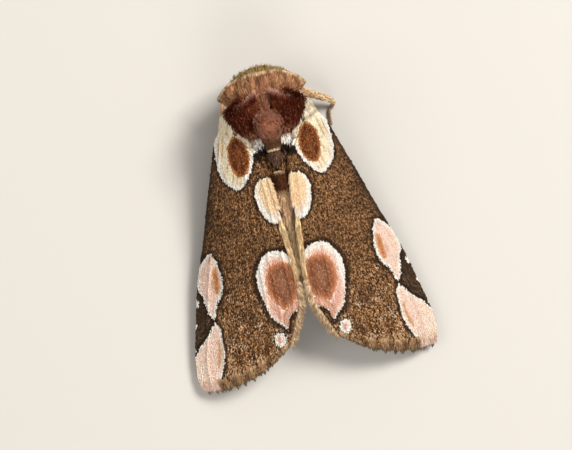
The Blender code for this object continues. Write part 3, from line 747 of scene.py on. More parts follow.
def hindwingCoat(sign):
    rows = int(13.0 / hindwing["scaleStep"][0])
    a, b = np.meshgrid((np.arange(rows) + 0.5) / rows, (np.arange(26) + 0.5) / 26, indexing="ij")
    a = (a + chance.uniform(-0.4, 0.4, a.shape) / rows).ravel().clip(0, 1)
    b = (b + chance.uniform(-0.4, 0.4, b.shape) / 26).ravel().clip(0, 1)
    out = hindwingOut(a, b) * sign
    lie = unit(hindwingSpot(np.minimum(a + 0.03, 1.0), b) - hindwingSpot(a - 0.03, b))
    depth = wing["skinDepth"] + (0.0 if sign > 0 else wing["thickness"])
    spot = hindwingSpot(a, b) - out * sign * depth
    tips = hindwingTints(spot[:, 0], spot[:, 1], a, b)
    lie = leaned(lie, out, chance.uniform(0.06, 0.14, len(a)))
    unwrap = stacked(a, b)
    # Darker roots: painted shade where the scales overlap.
    return makeCoat(spot, out, lie, *hindwing["scaleSize"], tips * 0.7, tips, unwrap)


fringe = {"rows": 6, "perRow": 330, "long": 0.55, "wide": 0.052, "start": 0.944,
          "buff": tint(196, 158, 118), "brown": tint(120, 88, 60), "pale": tint(224, 188, 146)}


def fringeCoat():                     # the hair-like scales along the outer edge
    count = fringe["rows"] * fringe["perRow"]
    v = (np.arange(count) % fringe["perRow"] + chance.random(count)) / fringe["perRow"]
    row = np.arange(count) // fringe["perRow"]
    u = fringe["start"] + 0.006 * row + chance.uniform(0, 0.004, count)
    out, lie = wingOut(u, v), wingLie(u, v)
    edge = wingSpot(np.ones(count), v)
    spot = wingSpot(u, v) - out * (wing["skinDepth"] + 0.02)
    tuftEnd = 1 - 0.16 * np.abs(np.sin(v * 95 + np.sin(v * 31)))
    length = np.linalg.norm(edge - spot, axis=1) * chance.uniform(0.8, 1.0, count) * tuftEnd
    length = np.minimum(length, fringe["long"] * chance.uniform(0.7, 1.05, count))
    cell = np.cos(2 * math.pi * 8 * v + 0.6)
    share = np.clip(0.5 - 0.5 * cell + chance.normal(0, 0.3, count), 0, 1)
    tips = blendTints(fringe["buff"], fringe["brown"], share)
    tips = blendTints(tips, pink, np.clip((0.17 - v) / 0.03, 0, 0.9))
    tips = blendTints(tips, fringe["pale"], np.clip((v - 0.8) / 0.1, 0, 0.8) + 0.5 * (row == 0))
    lie = leaned(unit(edge - spot) + 0.05 * chance.normal(size=(count, 3)), out,
                 chance.uniform(-0.02, 0.1, count))
    # Darker roots: painted shade where the fringe scales overlap.
    return makeCoat(spot, out, lie, fringe["wide"], length, tips * 0.7, tips,
                    stacked(v, row / fringe["rows"]))


# Hair along the forewing's inner edge: wing coloured at the front, then straw, then buff.
edgeHair = {"front": 800, "straw": 1100, "rear": 1100, "wide": 0.055, "frontLong": 0.42,
            "strawLong": 0.8, "rearLong": 0.5, "pale": tint(255, 226, 178),
            "shade": tint(226, 172, 118), "peach": tint(234, 202, 164), "dark": tint(128, 98, 72)}


def edgeHairCoat(count, reach, spread, aim, long, tipsOf):
    u = chance.uniform(*reach, count)
    v = 1 - np.interp(u, reach, spread) * chance.random(count) ** 1.3
    out = wingOut(u, v)
    spot = wingSpot(u, v) - out * (wing["skinDepth"] - 0.02)
    inward = unit(wingSpot(u, v * 0 + 1) - wingSpot(u, v * 0 + 0.9))
    lie = wingLie(u, v) + aim * inward + 0.08 * chance.normal(size=(count, 3))
    tips = tipsOf(spot, u, v) * chance.normal(1, 0.1, count).clip(0.6, 1.3)[:, None]
    # Darker roots: painted shade at the base of the hair.
    return makeCoat(spot, out, leaned(lie, out, chance.uniform(0.03, 0.14, count)),
                    edgeHair["wide"], long * chance.uniform(0.6, 1.1, count), tips * 0.7, tips,
                    stacked(u, v))


def frontEdgeTips(spot, u, v):
    return wingTints(spot[:, 0], spot[:, 1] + 0.2, u, v)


def strawTips(spot, u, v):
    return blendTints(edgeHair["pale"], edgeHair["shade"], chance.random(len(u)) ** 2)


def rearEdgeTips(spot, u, v):
    wave = np.cos(u * 190 + 3 * np.sin(u * 37))
    share = np.clip(0.4 + 0.4 * wave + chance.normal(0, 0.4, len(u)), 0, 1)
    return blendTints(edgeHair["peach"], edgeHair["dark"], share * 0.75)


def makeWings():
    upper, under, rim = forewingCoat(), forewingUnderCoat(), fringeCoat()
    edge = joinedCoats(
        edgeHairCoat(edgeHair["front"], (0.02, 0.36), (0.03, 0.04), 0.7, edgeHair["frontLong"],
                     frontEdgeTips),
        edgeHairCoat(edgeHair["straw"], (0.42, 0.66), (0.045, 0.015), 0.12, edgeHair["strawLong"],
                     strawTips),
        edgeHairCoat(edgeHair["rear"], (0.7, 0.99), (0.03, 0.06), 0.6, edgeHair["rearLong"],
                     rearEdgeTips))
    forewingCoats = (("scales", upper, "scale", scaleMaterial), ("under", under, "scale", scaleMaterial),
                     ("fringe", rim, "plainHair", scaleMaterial),
                     ("hair", edge, "plainHair", hairMaterial))
    hindTop, hindUnder = hindwingCoat(1), hindwingCoat(-1)
    for label, side in (("left", 1), ("right", -1)):
        def placed(coat):
            return coat if side == 1 else mirroredCoat(coat)
        # The skin shows the wing's pattern with fewer flecks, made darker: painted shade under the
        # scales.
        skin = wingSkin("forewing_skin_" + label, wingSpot, wingOut, veinRidge,
                        lambda x, y, u, v: wingTints(x, y, u, v, 0.4) * 0.6, side)
        finishPiece(skin, "forewing_scales", ["forewing_" + label])
        for name, coat, tuft, material in forewingCoats:
            layCoat("forewing_" + name + "_" + label, placed(coat), tuft, material,
                    "forewing_scales")
        skin = wingSkin("hindwing_skin_" + label, hindwingSpot, hindwingOut, lambda a, b: a * 0,
                        hindwingTints, side)
        finishPiece(skin, "hindwing_scales", ["hindwing_" + label])
        layCoat("hindwing_scales_" + label, joinedCoats(placed(hindTop), placed(hindUnder)),
                "scale", scaleMaterial, "hindwing_scales")


makeWings()
print("wings made")


# The body's forms. Each row: y, x of the middle, half width, top, bottom.
forms = {
    "head": [(0.42, 0, 0.5, 3.45, 2.55), (0.62, 0, 0.98, 3.9, 2.1), (1.1, 0, 1.35, 4.2, 1.85),
             (1.6, 0, 1.25, 4.15, 2.0), (1.95, 0, 0.95, 3.95, 2.3), (2.4, 0, 0.9, 3.9, 2.3)],
    "thorax": [(1.9, 0, 1.1, 4.2, 2.2), (2.25, 0, 1.6, 4.6, 1.9), (2.5, 0, 1.95, 4.75, 1.7),
               (3.1, 0, 2.12, 4.85, 1.5), (4.2, 0, 1.75, 4.4, 1.5), (5.4, 0, 1.25, 3.75, 1.6),
               (5.8, 0, 1.2, 3.4, 1.6)],
    "abdomen": [(5.6, 0, 1.25, 3.2, 1.5), (7.5, 0, 1.45, 3.25, 1.35), (10.0, 0, 1.35, 3.15, 1.4),
                (12.5, 0, 0.95, 2.85, 1.5), (14.1, 0, 0.45, 2.35, 1.65)],
    "tegula": [(1.65, 0.95, 0.3, 4.85, 4.4), (1.95, 1.2, 0.75, 5.0, 4.2),
               (2.3, 1.45, 1.0, 5.1, 4.0), (2.75, 1.45, 0.88, 5.2, 3.95),
               (3.3, 1.38, 0.6, 5.3, 4.1), (3.75, 1.2, 0.4, 5.35, 4.4),
               (3.98, 1.08, 0.2, 5.25, 4.8)],
    "crestTail": [(3.6, 0, 0.7, 5.8, 4.3), (4.4, 0, 0.56, 5.65, 4.3), (5.0, 0, 0.42, 5.35, 4.4)],
    "saddle": [(4.0, 0, 1.8, 4.7, 3.8), (4.8, 0, 1.45, 4.84, 3.9), (5.5, 0, 1.08, 4.9, 4.0),
               (6.2, 0, 0.8, 4.95, 4.0), (7.2, 0, 0.58, 4.85, 4.0), (8.5, 0, 0.42, 4.6, 3.8),
               (9.5, 0, 0.33, 4.45, 3.7), (11.0, 0, 0.22, 4.25, 3.6), (12.2, 0, 0.14, 4.1, 3.6)],
    "secondTuft": [(5.1, 0, 0.22, 5.0, 3.6), (5.5, 0, 0.36, 5.22, 3.6), (5.9, 0, 0.14, 5.0, 3.6)],
    "thirdTuft": [(6.4, 0, 0.24, 5.05, 3.6), (6.8, 0, 0.32, 5.2, 3.6), (7.4, 0, 0.22, 5.0, 3.6)],
}
coatDepth = 0.3
crest = {"middle": (0.0, 3.5, 5.5), "radii": (0.74, 0.78, 0.8)}
eye = {"middle": (1.15, 0.85, 3.05), "radius": 0.58}
limbs = {
    "fore_leg_left": [(0.75, 2.5, 1.32), (1.0, 2.45, 1.0), (2.0, 2.0, 1.45), (1.95, 1.5, 0.5),
                      (1.8, 1.25, 0.14), (1.5, 0.35, 0.12)],
    "fore_leg_right": [(-0.75, 2.5, 1.32), (-1.05, 2.4, 1.05), (-2.2, 1.75, 1.5),
                       (-3.3, 2.2, 1.25), (-4.25, 2.75, 0.62), (-4.15, 3.0, 0.2),
                       (-3.9, 3.3, 0.13), (-3.85, 4.2, 0.12)],
}
leftLimbs = {
    "mid_leg_": [(0.85, 3.6, 1.1), (1.15, 3.7, 0.95), (2.7, 4.3, 1.45), (3.25, 5.2, 0.5),
                 (3.35, 5.6, 0.14), (3.5, 6.9, 0.12)],
    "hind_leg_": [(0.75, 4.7, 1.2), (0.95, 5.0, 0.98), (1.9, 7.2, 1.2), (2.4, 10.0, 0.5),
                  (2.5, 10.6, 0.14), (2.8, 13.2, 0.12)],
    "palp_": [(0.42, 0.5, 2.1), (0.4, 0.12, 2.2), (0.43, -0.02, 2.45), (0.4, -0.12, 2.95)],
}
for label, side in (("left", 1), ("right", -1)):
    for name, path in leftLimbs.items():
        limbs[name + label] = [(side * x, y, z) for x, y, z in path]


limbSizes = ([0, 0.55, 0.75, 1], [0.2, 0.18, 0.1, 0.08])
roots = {                             # what joins each leg, palp and the tongue to the body
    "fore leg": {"path": [(0.7, 2.6, 2.3), (0.76, 2.52, 1.6), (0.95, 2.45, 1.02)], "wide": 0.29,
                 "count": 420},
    "mid leg": {"path": [(0.8, 3.55, 2.1), (0.9, 3.6, 1.5), (1.1, 3.68, 0.98)], "wide": 0.29,
                "count": 420},
    "hind leg": {"path": [(0.72, 4.55, 2.1), (0.78, 4.75, 1.5), (0.92, 4.95, 1.0)], "wide": 0.28,
                 "count": 420},
    "palp": {"path": [(0.38, 0.85, 2.7), (0.41, 0.65, 2.4), (0.42, 0.5, 2.1)], "wide": 0.22,
             "count": 160},
    "tongue": {"path": [(0.0, 0.7, 2.7), (0.0, 0.5, 2.3), (0.0, 0.3, 1.86)], "wide": 0.16,
               "count": 90},
}


def rootSizes(root):                  # half widths at the root's two ends
    return [0, 1], [root["wide"], root["wide"] * 0.75]


def rootPaths():
    for root in roots.values():
        for side in (1, -1):
            if side == 1 or root["path"][0][0] > 0:
                yield root, [(side * x, y, z) for x, y, z in root["path"]]


def formSpot(form, y, turn, inset=0.0):   # turn is 0 at the top and grows towards the left side
    rows = np.array(forms[form], float)
    middleX, wide, top, bottom = (np.interp(y, rows[:, 0], rows[:, k]) for k in range(1, 5))
    tall = (top - bottom) / 2 - inset
    wide = wide - inset
    return stacked(middleX + wide * np.sin(turn), y, (top + bottom) / 2 + tall * np.cos(turn))


def formOut(form, y, turn):
    ahead = formSpot(form, y + 0.05, turn) - formSpot(form, y - 0.05, turn)
    around = formSpot(form, y, turn + 0.05) - formSpot(form, y, turn - 0.05)
    return unit(np.cross(around, ahead))


def formRings(form):                  # the form under its coat
    rows, short = forms[form], coatDepth * 0.6
    y, turn = ringGrid((rows[0][0] + short, rows[-1][0] - short), 24, 32)
    thinnest = min(min(row[2], (row[3] - row[4]) / 2) for row in rows)
    return formSpot(form, y, turn, min(coatDepth, thinnest * 0.6))


def limbFrame(path, share):
    middle = smoothLine(path, share)
    ahead = unit(smoothLine(path, share + 0.02) - smoothLine(path, share - 0.02))
    across = unit(np.cross(ahead, unit(np.array([0.15, 0.3, 1.0]))))
    return middle, ahead, across, np.cross(across, ahead)


def limbSpot(path, share, turn, sizes=limbSizes):
    middle, ahead, across, over = limbFrame(path, share)
    size = np.interp(share, *sizes)[..., None]
    out = across * np.cos(turn)[..., None] + over * np.sin(turn)[..., None]
    spot = middle + out * size
    spot[..., 2] = np.maximum(spot[..., 2], 0.02)
    return spot, out, ahead


def skinParts():
    for form in forms:
        rings = formRings(form)
        for side in (1, -1) if form == "tegula" else (1,):
            yield closedTube(rings * np.array([side, 1.0, 1.0]))
    yield closedTube(ballRings(24, 32, 0.05) * np.array(crest["radii"]) + np.array(crest["middle"]))
    turn, share = np.meshgrid(np.radians(np.linspace(-1, 1, 48) * collar["halfTurn"]),
                              np.linspace(-0.3, 0.85, 16), indexing="ij")
    yield closedSheet(collarSpot(turn, share, 0.02), collarSpot(turn, share, -0.16))
    for path in limbs.values():
        yield closedTube(limbSpot(path, *ringGrid((0, 1), 60, 10))[0])
    for root, path in rootPaths():
        yield closedTube(limbSpot(path, *ringGrid((0, 1), 12, 12), rootSizes(root))[0])


def makeSkin():                       # one skin for the head, body, legs and the forms of its coat
    joined = bmesh.new()
    for corners, faces in skinParts():
        made = meshObject("part", corners, faces, scale=1.0)
        joined.from_mesh(made.data)
        bpy.data.objects.remove(made, do_unlink=True)
    mesh = bpy.data.meshes.new("body_skin")
    joined.to_mesh(mesh)
    joined.free()
    skin = addObject("body_skin", mesh)
    remesh = skin.modifiers.new("one surface", "REMESH")
    remesh.mode = "VOXEL"
    remesh.voxel_size = 0.075
    smooth = skin.modifiers.new("smooth", "SMOOTH")
    smooth.factor, smooth.iterations = 0.5, 3
    made = shapedMesh(skin, "body_skin")
    skin.modifiers.clear()
    made.transform(Matrix.Scale(millimetre, 4))
    skin.data = made
    made.materials.clear()
    made.materials.append(skinMaterial)
    made.shade_smooth()
    spots = toFrame(np.concatenate([coat["spot"] for coat in allRoots]))
    tips = np.concatenate([coat["rootTint"] * 0.5 + coat["tipTint"] * 0.5 for coat in allRoots])
    tree = kdtree.KDTree(len(spots))
    for i, spot in enumerate(spots):
        tree.insert(spot, i)
    tree.balance()
    # The skin takes the nearest hair's root and tip tints, darkened further: painted shade under the
    # coat.
    addTintLayer(made, "skinTint", [tips[tree.find(vertex.co)[1]] * 0.85 for vertex in made.vertices])
    finishPiece(skin, "abdomen_fur", ["head", "thorax", "abdomen_front", "abdomen_middle",
                                      "abdomen_rear"])
    print("body skin", len(made.polygons), "faces")


def bodyRoots(form, count, turns=(-math.pi, math.pi), inset=coatDepth - 0.04):
    rows = forms[form]
    y = chance.uniform(rows[0][0], rows[-1][0], count)
    turn = chance.uniform(*turns, count)
    out = formOut(form, y, turn)
    unwrap = stacked((turn - turns[0]) / (turns[1] - turns[0]),
                     (y - rows[0][0]) / (rows[-1][0] - rows[0][0]))
    return y, turn, formSpot(form, y, turn, inset), out, unwrap


def shaded(tints, spread, count):
    return tints * chance.normal(1, spread, count).clip(0.5, 1.6)[:, None]


def brushed(spot, out, lie, lean, wide, long, tips, unwrap, span=(0.7, 1.1), root=0.6, shade=0.1):
    count = len(spot)                 # a coat whose hairs lean, and vary in length and shade
    # root darkens the tip tint into the root tint: painted shade at the base of the hair.
    return makeCoat(spot, out, leaned(lie, out, chance.uniform(*lean, count)), wide,
                    long * chance.uniform(*span, count), tips * root, shaded(tips, shade, count),
                    unwrap)


# Head hair, olive and short, brushed forward over the face and the eyes.
headHair = {"count": 3000, "face": 900, "crown": 1800, "brow": 2600, "long": 0.6, "wide": 0.07,
            "browLong": 0.86, "olive": tint(156, 130, 78), "dark": tint(88, 68, 38),
            "pale": tint(196, 166, 108)}


def headTips(count):
    share = chance.random(count)
    tips = blendTints(headHair["olive"], headHair["pale"], share * 0.7)
    return shaded(blendTints(tips, headHair["dark"], (share > 0.85) * 0.6), 0.12, count)


def headPart(spot, out, lie, long, span, unwrap):
    count = len(spot)
    # Every root takes the dark tint: painted shade at the base of the hair.
    return makeCoat(spot, out, lie, headHair["wide"], long * chance.uniform(*span, count),
                    headHair["dark"], headTips(count), unwrap)


def fromEye(spot):
    return np.linalg.norm(stacked(np.abs(spot[:, 0]), spot[:, 1], spot[:, 2])
                          - np.array(eye["middle"]), axis=1)


def headCoat():
    count, long = headHair["count"], headHair["long"]
    y, turn, spot, out, unwrap = bodyRoots("head", count, inset=0.18)
    lie = stacked(0.25 * np.sin(turn), -1.0, -0.15 + 0.1 * np.cos(turn))
    body = headPart(spot, out, leaned(lie, out, chance.uniform(0.1, 0.5, count)), long, (0.7, 1.1),
                    unwrap)
    body = keptRoots(body, (fromEye(spot) > eye["radius"] + 0.16) & (y < 2.1))
    count = headHair["face"]
    turn, size = chance.uniform(0, 2 * math.pi, count), np.sqrt(chance.random(count))
    spot = stacked(0.52 * size * np.sin(turn), 0.5 + 0.1 * size, 3.0 + 0.5 * size * np.cos(turn))
    out = unit(stacked(0.5 * size * np.sin(turn), -1.0, 0.5 * size * np.cos(turn)))
    lie = stacked(0.6 * np.sin(turn) * size, -1.0, 0.25 + 0.4 * size * np.cos(turn))
    face = headPart(spot, out, leaned(lie + out, out, 0.9), long, (0.6, 1.0),
                    stacked(turn / 2 / math.pi, size))
    count = headHair["crown"]
    y, turn = chance.uniform(0.75, 1.75, count), chance.uniform(-1.7, 1.7, count)
    spot, out = formSpot("head", y, turn, 0.15), formOut("head", y, turn)
    lie = out + stacked(0.0, -0.9, 0.0) + 0.15 * chance.normal(size=(count, 3))
    crown = headPart(spot, out, lie, long, (0.9, 1.45), stacked(0.5 + turn / 3.4, y - 0.75))
    crown = keptRoots(crown, fromEye(spot) > eye["radius"] + 0.14)
    count = headHair["brow"]
    across, row = chance.uniform(-1, 1, count), chance.random(count)
    spot = stacked(1.38 * across, 0.52 + 0.42 * across**2 + 0.5 * row,
                   3.98 - 0.25 * across**2 + 0.1 * row)
    out = unit(stacked(0.3 * across, -0.2, 1.0))
    lie = stacked(0.42 * across, -1.0, 0.02) + 0.08 * chance.normal(size=(count, 3))
    brow = headPart(spot, out, leaned(lie, out, chance.uniform(0.0, 0.2, count)),
                    headHair["browLong"], (0.8, 0.98), stacked(0.5 + 0.5 * across, row))
    return joinedCoats(body, face, crown, brow)


# The collar: a fan of long hair from the neck out to a thin cream rim, open below.
collar = {"count": 8800, "underCount": 1500, "halfTurn": 88, "long": 0.75, "rimLong": 0.42,
          "wide": 0.062, "gold": tint(200, 150, 108), "goldDark": tint(94, 57, 36),
          "rim": tint(240, 216, 176), "pinkBuff": tint(174, 118, 92)}


def collarSpot(turn, share, lift=0.0):   # share runs from the neck to the rim
    side = np.abs(np.sin(turn))
    root = stacked(1.95 * np.sin(turn), 1.95, 3.45 + 1.35 * np.cos(turn))
    rim = stacked(2.84 * np.sin(turn), 0.24 + 1.1 * side**3, 3.2 + 1.72 * np.cos(turn))
    out = stacked(np.sin(turn), -0.1, np.cos(turn))
    spot = root + (rim - root) * share[..., None]
    return spot + out * (lift + 0.12 * np.sin(np.clip(share, 0, 1) * math.pi))[..., None]


def collarCoat(sign):
    count = collar["count"] if sign > 0 else collar["underCount"]
    turn = np.radians(chance.uniform(-collar["halfTurn"], collar["halfTurn"], count))
    share = chance.uniform(-0.35, 0.88, count)
    spot = collarSpot(turn, share, 0.0 if sign > 0 else -0.14)
    out = unit(stacked(np.sin(turn), 0.15, np.cos(turn))) * sign
    lie = unit(collarSpot(turn, share + 0.1) - collarSpot(turn, share))
    whole = np.linalg.norm(collarSpot(turn, turn * 0 + 1) - collarSpot(turn, turn * 0), axis=1)
    lobe = 1 + 0.04 * np.cos(5 * turn + 0.8) + 0.02 * np.cos(31 * turn)
    long = np.interp(share, [0.3, 0.88], [collar["long"], collar["rimLong"]]) * whole / 1.72
    length = np.minimum(long, whole * lobe * (1.03 - share)) * chance.uniform(0.82, 1, count)
    reach = share + length / whole
    streak = 0.45 + 1.1 * patchy(turn * 6, share * 2.4, 0.75) + chance.normal(0, 0.25, count)
    streak = np.clip(streak, 0, 1)
    tips = blendTints(collar["gold"], collar["goldDark"], streak)
    middle = np.exp(-(np.sin(turn + 0.1) / 0.2) ** 2) * np.clip((0.75 - share) * 3, 0, 1)
    tips = blendTints(tips, collar["pinkBuff"], 0.7 * middle + 0.25 * patchy(turn * 6, share, 0.4, 3.0))
    pale = np.clip(1 + (reach - 1) * whole / 0.05, 0, 0.8) * (share > 0.7)
    pale = pale * np.clip(0.7 + 1.2 * patchy(turn * 6, turn * 0, 0.9, 5.0), 0, 1)
    tips = blendTints(tips, collar["rim"], pale)
    # Roots darker than the tips: painted shade at the base of the hair, deeper where the streaks are
    # dark.
    roots = blendTints(tips, collar["goldDark"], 0.4 + 0.4 * streak)
    lean = chance.uniform(0.02, 0.16, count) * np.where(share > 0.6, 0.3, 1)
    return makeCoat(spot, out, leaned(lie + 0.09 * chance.normal(size=lie.shape), out, lean),
                    collar["wide"], length, shaded(roots, 0.12, count), shaded(tips, 0.1, count),
                    stacked(0.5 + turn / 2 / math.radians(collar["halfTurn"]), (share + 0.35) / 1.23))


# The shoulder tufts beside the crest: maroon, with a pink-tipped front that leans forward.
tegula = {"count": 4300, "front": 1400, "long": 0.55, "wide": 0.07, "maroon": tint(92, 34, 14),
          "black": tint(36, 15, 8), "brown": tint(136, 74, 46), "pinkTip": tint(244, 188, 168),
          "rear": tint(196, 146, 112), "rust": tint(152, 88, 58)}


def tegulaCoat():
    count = tegula["count"]
    y, turn, spot, out, unwrap = bodyRoots("tegula", count, (-2.2, 2.2), inset=0.1)
    x = spot[:, 0]
    lie = stacked(-0.35 - 0.2 * np.clip(x - 1.2, 0, 1), 1.0, 0.1)
    share = chance.random(count)
    outer = np.clip((x - 0.9 + 0.7 * (y - 2.1)) / 0.7, 0, 1)
    tips = blendTints(tegula["brown"], tegula["maroon"], outer * 0.9 + 0.1)
    tips = blendTints(tips, tegula["black"], share * outer * 0.8)
    tips = blendTints(tips, tegula["rust"], (chance.random(count) > 0.88) * 0.7)
    tips = blendTints(tips, tegula["rear"], np.clip((y - 3.6) / 0.25, 0, 0.8) * (share > 0.4))
    length = tegula["long"] * chance.uniform(0.7, 1.05, count) * np.interp(y, [3.2, 3.9], [1, 0.6])
    lie = lie + 0.16 * chance.normal(size=(count, 3))
    # Roots at half the tip tint: painted shade at the base of the hair.
    body = makeCoat(spot, out, leaned(lie, out, chance.uniform(0.25, 0.85, count)), tegula["wide"],
                    length, shaded(tips * 0.5, 0.1, count), shaded(tips, 0.15, count), unwrap)
    count = tegula["front"]
    along, row = chance.random(count), chance.random(count)
    spot = stacked(0.4 + 1.25 * along + 0.1 * row, 1.5 + 0.72 * along + 0.6 * row,
                   5.06 + 0.1 * row - 0.2 * along)
    lie = stacked(0.1 + 0.25 * along, -0.6, 0.8) + 0.3 * chance.normal(size=(count, 3))
    out = unit(stacked(0.1, -0.6, 0.8) * np.ones((count, 3)))
    tips = blendTints(tegula["pinkTip"], tegula["maroon"], row * 1.6 + chance.normal(0, 0.2, count))
    front = makeCoat(spot, out, unit(lie), 0.04, 0.4 * chance.uniform(0.6, 1.1, count),
                     shaded(tegula["maroon"] * np.ones((count, 3)), 0.1, count),
                     shaded(tips, 0.15, count), stacked(along, row))
    return joinedCoats(body, front)


# Pinkish hair between the shoulder tufts, from the crest forward and out over the neck.
neckHair = {"count": 1500, "long": 0.5, "wide": 0.05, "pinkBuff": tint(172, 120, 92),
            "brown": tint(112, 64, 42)}


def neckCoat():
    count = neckHair["count"]
    across, row = chance.uniform(-1, 1, count), chance.random(count)
    spot = stacked(0.55 * across * (0.25 + 0.75 * row), 2.75 - 1.45 * row, 4.86 - 0.05 * row)
    out = unit(stacked(0.15 * across, -0.15, 1.0))
    lie = stacked(0.55 * across, -1.0, 0.0) + 0.12 * chance.normal(size=(count, 3))
    tips = blendTints(neckHair["pinkBuff"], neckHair["brown"], chance.random(count))
    return brushed(spot, out, lie, (0.1, 0.5), neckHair["wide"], neckHair["long"], tips,
                   stacked(0.5 + 0.5 * across, row), span=(0.7, 1.0))


# Cream hair over the wing's root, between the collar and the first spot.
shoulder = {"count": 2000, "seam": 420, "long": 0.65, "seamLong": 0.4, "wide": 0.055,
            "cream": tint(255, 242, 218), "ochre": tint(218, 172, 112)}


def shoulderCoat():
    count = shoulder["count"]
    across, share = chance.random(count), chance.uniform(-0.35, 1, count)
    front = np.array([2.62, 1.9, 4.0]) + np.array([0.26, 0.85, -0.38]) * share[:, None]
    back = np.array([2.2, 2.4, 4.62]) + np.array([0.06, 0.75, 0.07]) * share[:, None]
    spot = front + (back - front) * across[:, None]
    out = unit(stacked(0.75 - 0.45 * across, -0.1, 0.7 + 0.2 * across))
    lie = stacked(0.1 - 0.12 * across, 1.0, -0.3 + 0.25 * across)
    tips = blendTints(shoulder["cream"], shoulder["ochre"], (chance.random(count) > 0.75) * 0.7)
    tips = blendTints(tips, collar["gold"], np.clip((2.0 - spot[:, 1]) / 0.3, 0, 0.9))
    patch = brushed(spot, out, lie, (0.05, 0.2), shoulder["wide"], shoulder["long"], tips,
                    stacked(across, (share + 0.35) / 1.35), root=0.85, shade=0.08)
    count = shoulder["seam"]
    across, share = chance.uniform(-0.14, 0.14, count), chance.random(count)
    spot = np.array([2.2, 2.9, 4.6]) + np.array([-0.8, 1.45, 0.08]) * share[:, None]
    spot = spot + across[:, None] * np.array([0.88, 0.48, 0.0])
    out = unit(np.array([0.2, 0.0, 1.0]) * np.ones((count, 3)))
    lie = stacked(-0.2, 1.0, 0.0) + 0.15 * chance.normal(size=(count, 3))
    tips = blendTints(shoulder["cream"], tegula["rear"], chance.random(count) ** 2)
    seam = brushed(spot, out, lie, (0.05, 0.2), shoulder["wide"], shoulder["seamLong"], tips,
                   stacked(share, (across + 0.14) / 0.28), root=0.85, shade=0.08)
    return joinedCoats(patch, seam)


# The round crest: fine hair that meets at the top, and a tail behind it with cream tips.
crestHair = {"count": 5600, "tailCount": 1900, "long": 0.42, "wide": 0.046,
             "pink": tint(186, 122, 95), "red": tint(108, 60, 42), "pale": tint(222, 172, 146),
             "tail": tint(100, 68, 48), "cream": tint(236, 206, 166)}


def crestCoat():
    count = crestHair["count"]
    height = chance.uniform(-0.55, 1.0, count)
    turn = chance.uniform(0, 2 * math.pi, count)
    wide = np.sqrt(1 - height**2)
    ball = stacked(wide * np.cos(turn), wide * np.sin(turn), height)
    radii = np.array(crest["radii"])
    spot = ball * radii + np.array(crest["middle"])
    out = unit(ball / radii)
    top = np.array([0.0, 3.55, 6.5])
    away = np.hypot(spot[:, 0], spot[:, 1] - 3.5)
    swirl = 0.3 * stacked(-np.sin(turn), np.cos(turn), turn * 0)
    lie = blendTints(top - spot + swirl, np.array([0.0, 0.7, -0.3]), (spot[:, 1] - 3.7) / 0.5)
    lie = np.where((away < 0.16)[:, None], chance.normal(size=(count, 3)), lie)
    share = chance.random(count)
    tips = blendTints(crestHair["pink"], crestHair["red"], share * 0.8)
    # Pale hairs at random, and a pale band round the ball above its middle: a painted highlight.
    tips = blendTints(tips, crestHair["pale"],
                      (share > 0.85) * 0.4 + 0.4 * np.exp(-((height - 0.22) / 0.22) ** 2))
    # Redder and darker towards the bottom of the ball: painted shade on its underside.
    tips = blendTints(tips, crestHair["red"], np.clip((-0.2 - height) * 1.5, 0, 0.6))
    length = crestHair["long"] * chance.uniform(0.7, 1.1, count) * np.clip(away / 0.35, 0.6, 1)
    # Dark red roots: painted shade at the base of the hair.
    ballCoat = makeCoat(spot, out, leaned(lie, out, chance.uniform(0.05, 0.35, count)),
                        crestHair["wide"], length, crestHair["red"] * 0.7,
                        shaded(tips, 0.22, count), stacked(turn / 2 / math.pi, (height + 1) / 2))
    count = crestHair["tailCount"]
    y, turn, spot, out, unwrap = bodyRoots("crestTail", count, (-2.0, 2.0), inset=0.05)
    tips = blendTints(crestHair["pink"], crestHair["tail"], (y - 3.9) / 0.4)
    tips = blendTints(tips, crestHair["cream"], (y - 4.82) / 0.08)
    tail = brushed(spot, out, stacked(-0.2 * spot[:, 0], 1.0, -0.2), (0.05, 0.2), 0.06,
                   np.interp(y, [4.6, 5.0], [0.42, 0.24]), tips, unwrap)
    return joinedCoats(ballCoat, keptRoots(tail, y > 3.95))


# The tufts on the first rings of the abdomen, and the hair of the body behind and below them.
bodyHair = {"thorax": 4600, "abdomen": 4900, "smallTuft": 1200, "saddle": 3600, "long": 0.6,
            "wide": 0.1, "buff": tint(214, 172, 126), "brown": tint(124, 86, 56),
            "grey": tint(118, 88, 72), "dark": tint(96, 56, 34), "cream": tint(240, 208, 166),
            "black": tint(28, 17, 10), "mouse": tint(255, 210, 166)}


def smallTuftCoat(form, tips, edge):
    count = bodyHair["smallTuft"]
    y, turn, spot, out, unwrap = bodyRoots(form, count, (-1.9, 1.9), inset=0.03)
    rows = forms[form]
    share = (y - rows[0][0]) / (rows[-1][0] - rows[0][0])
    tints = blendTints(shaded(tips * np.ones((count, 3)), 0.3, count), bodyHair["cream"],
                       np.clip((share - edge[0]) / 0.1, 0, 1) * np.clip((edge[1] - share) / 0.1, 0, 1))
    lie = stacked(0.0, 1.0, 0.35) * np.ones((count, 3))
    lie = lie + 0.25 * chance.normal(size=(count, 3))
    # Roots at half the tint: painted shade at the base of the hair.
    return makeCoat(spot, out, leaned(lie, out, chance.uniform(0.3, 1.0, count)), 0.06,
                    0.34 * chance.uniform(0.6, 1.1, count), tints * 0.5, tints, unwrap)


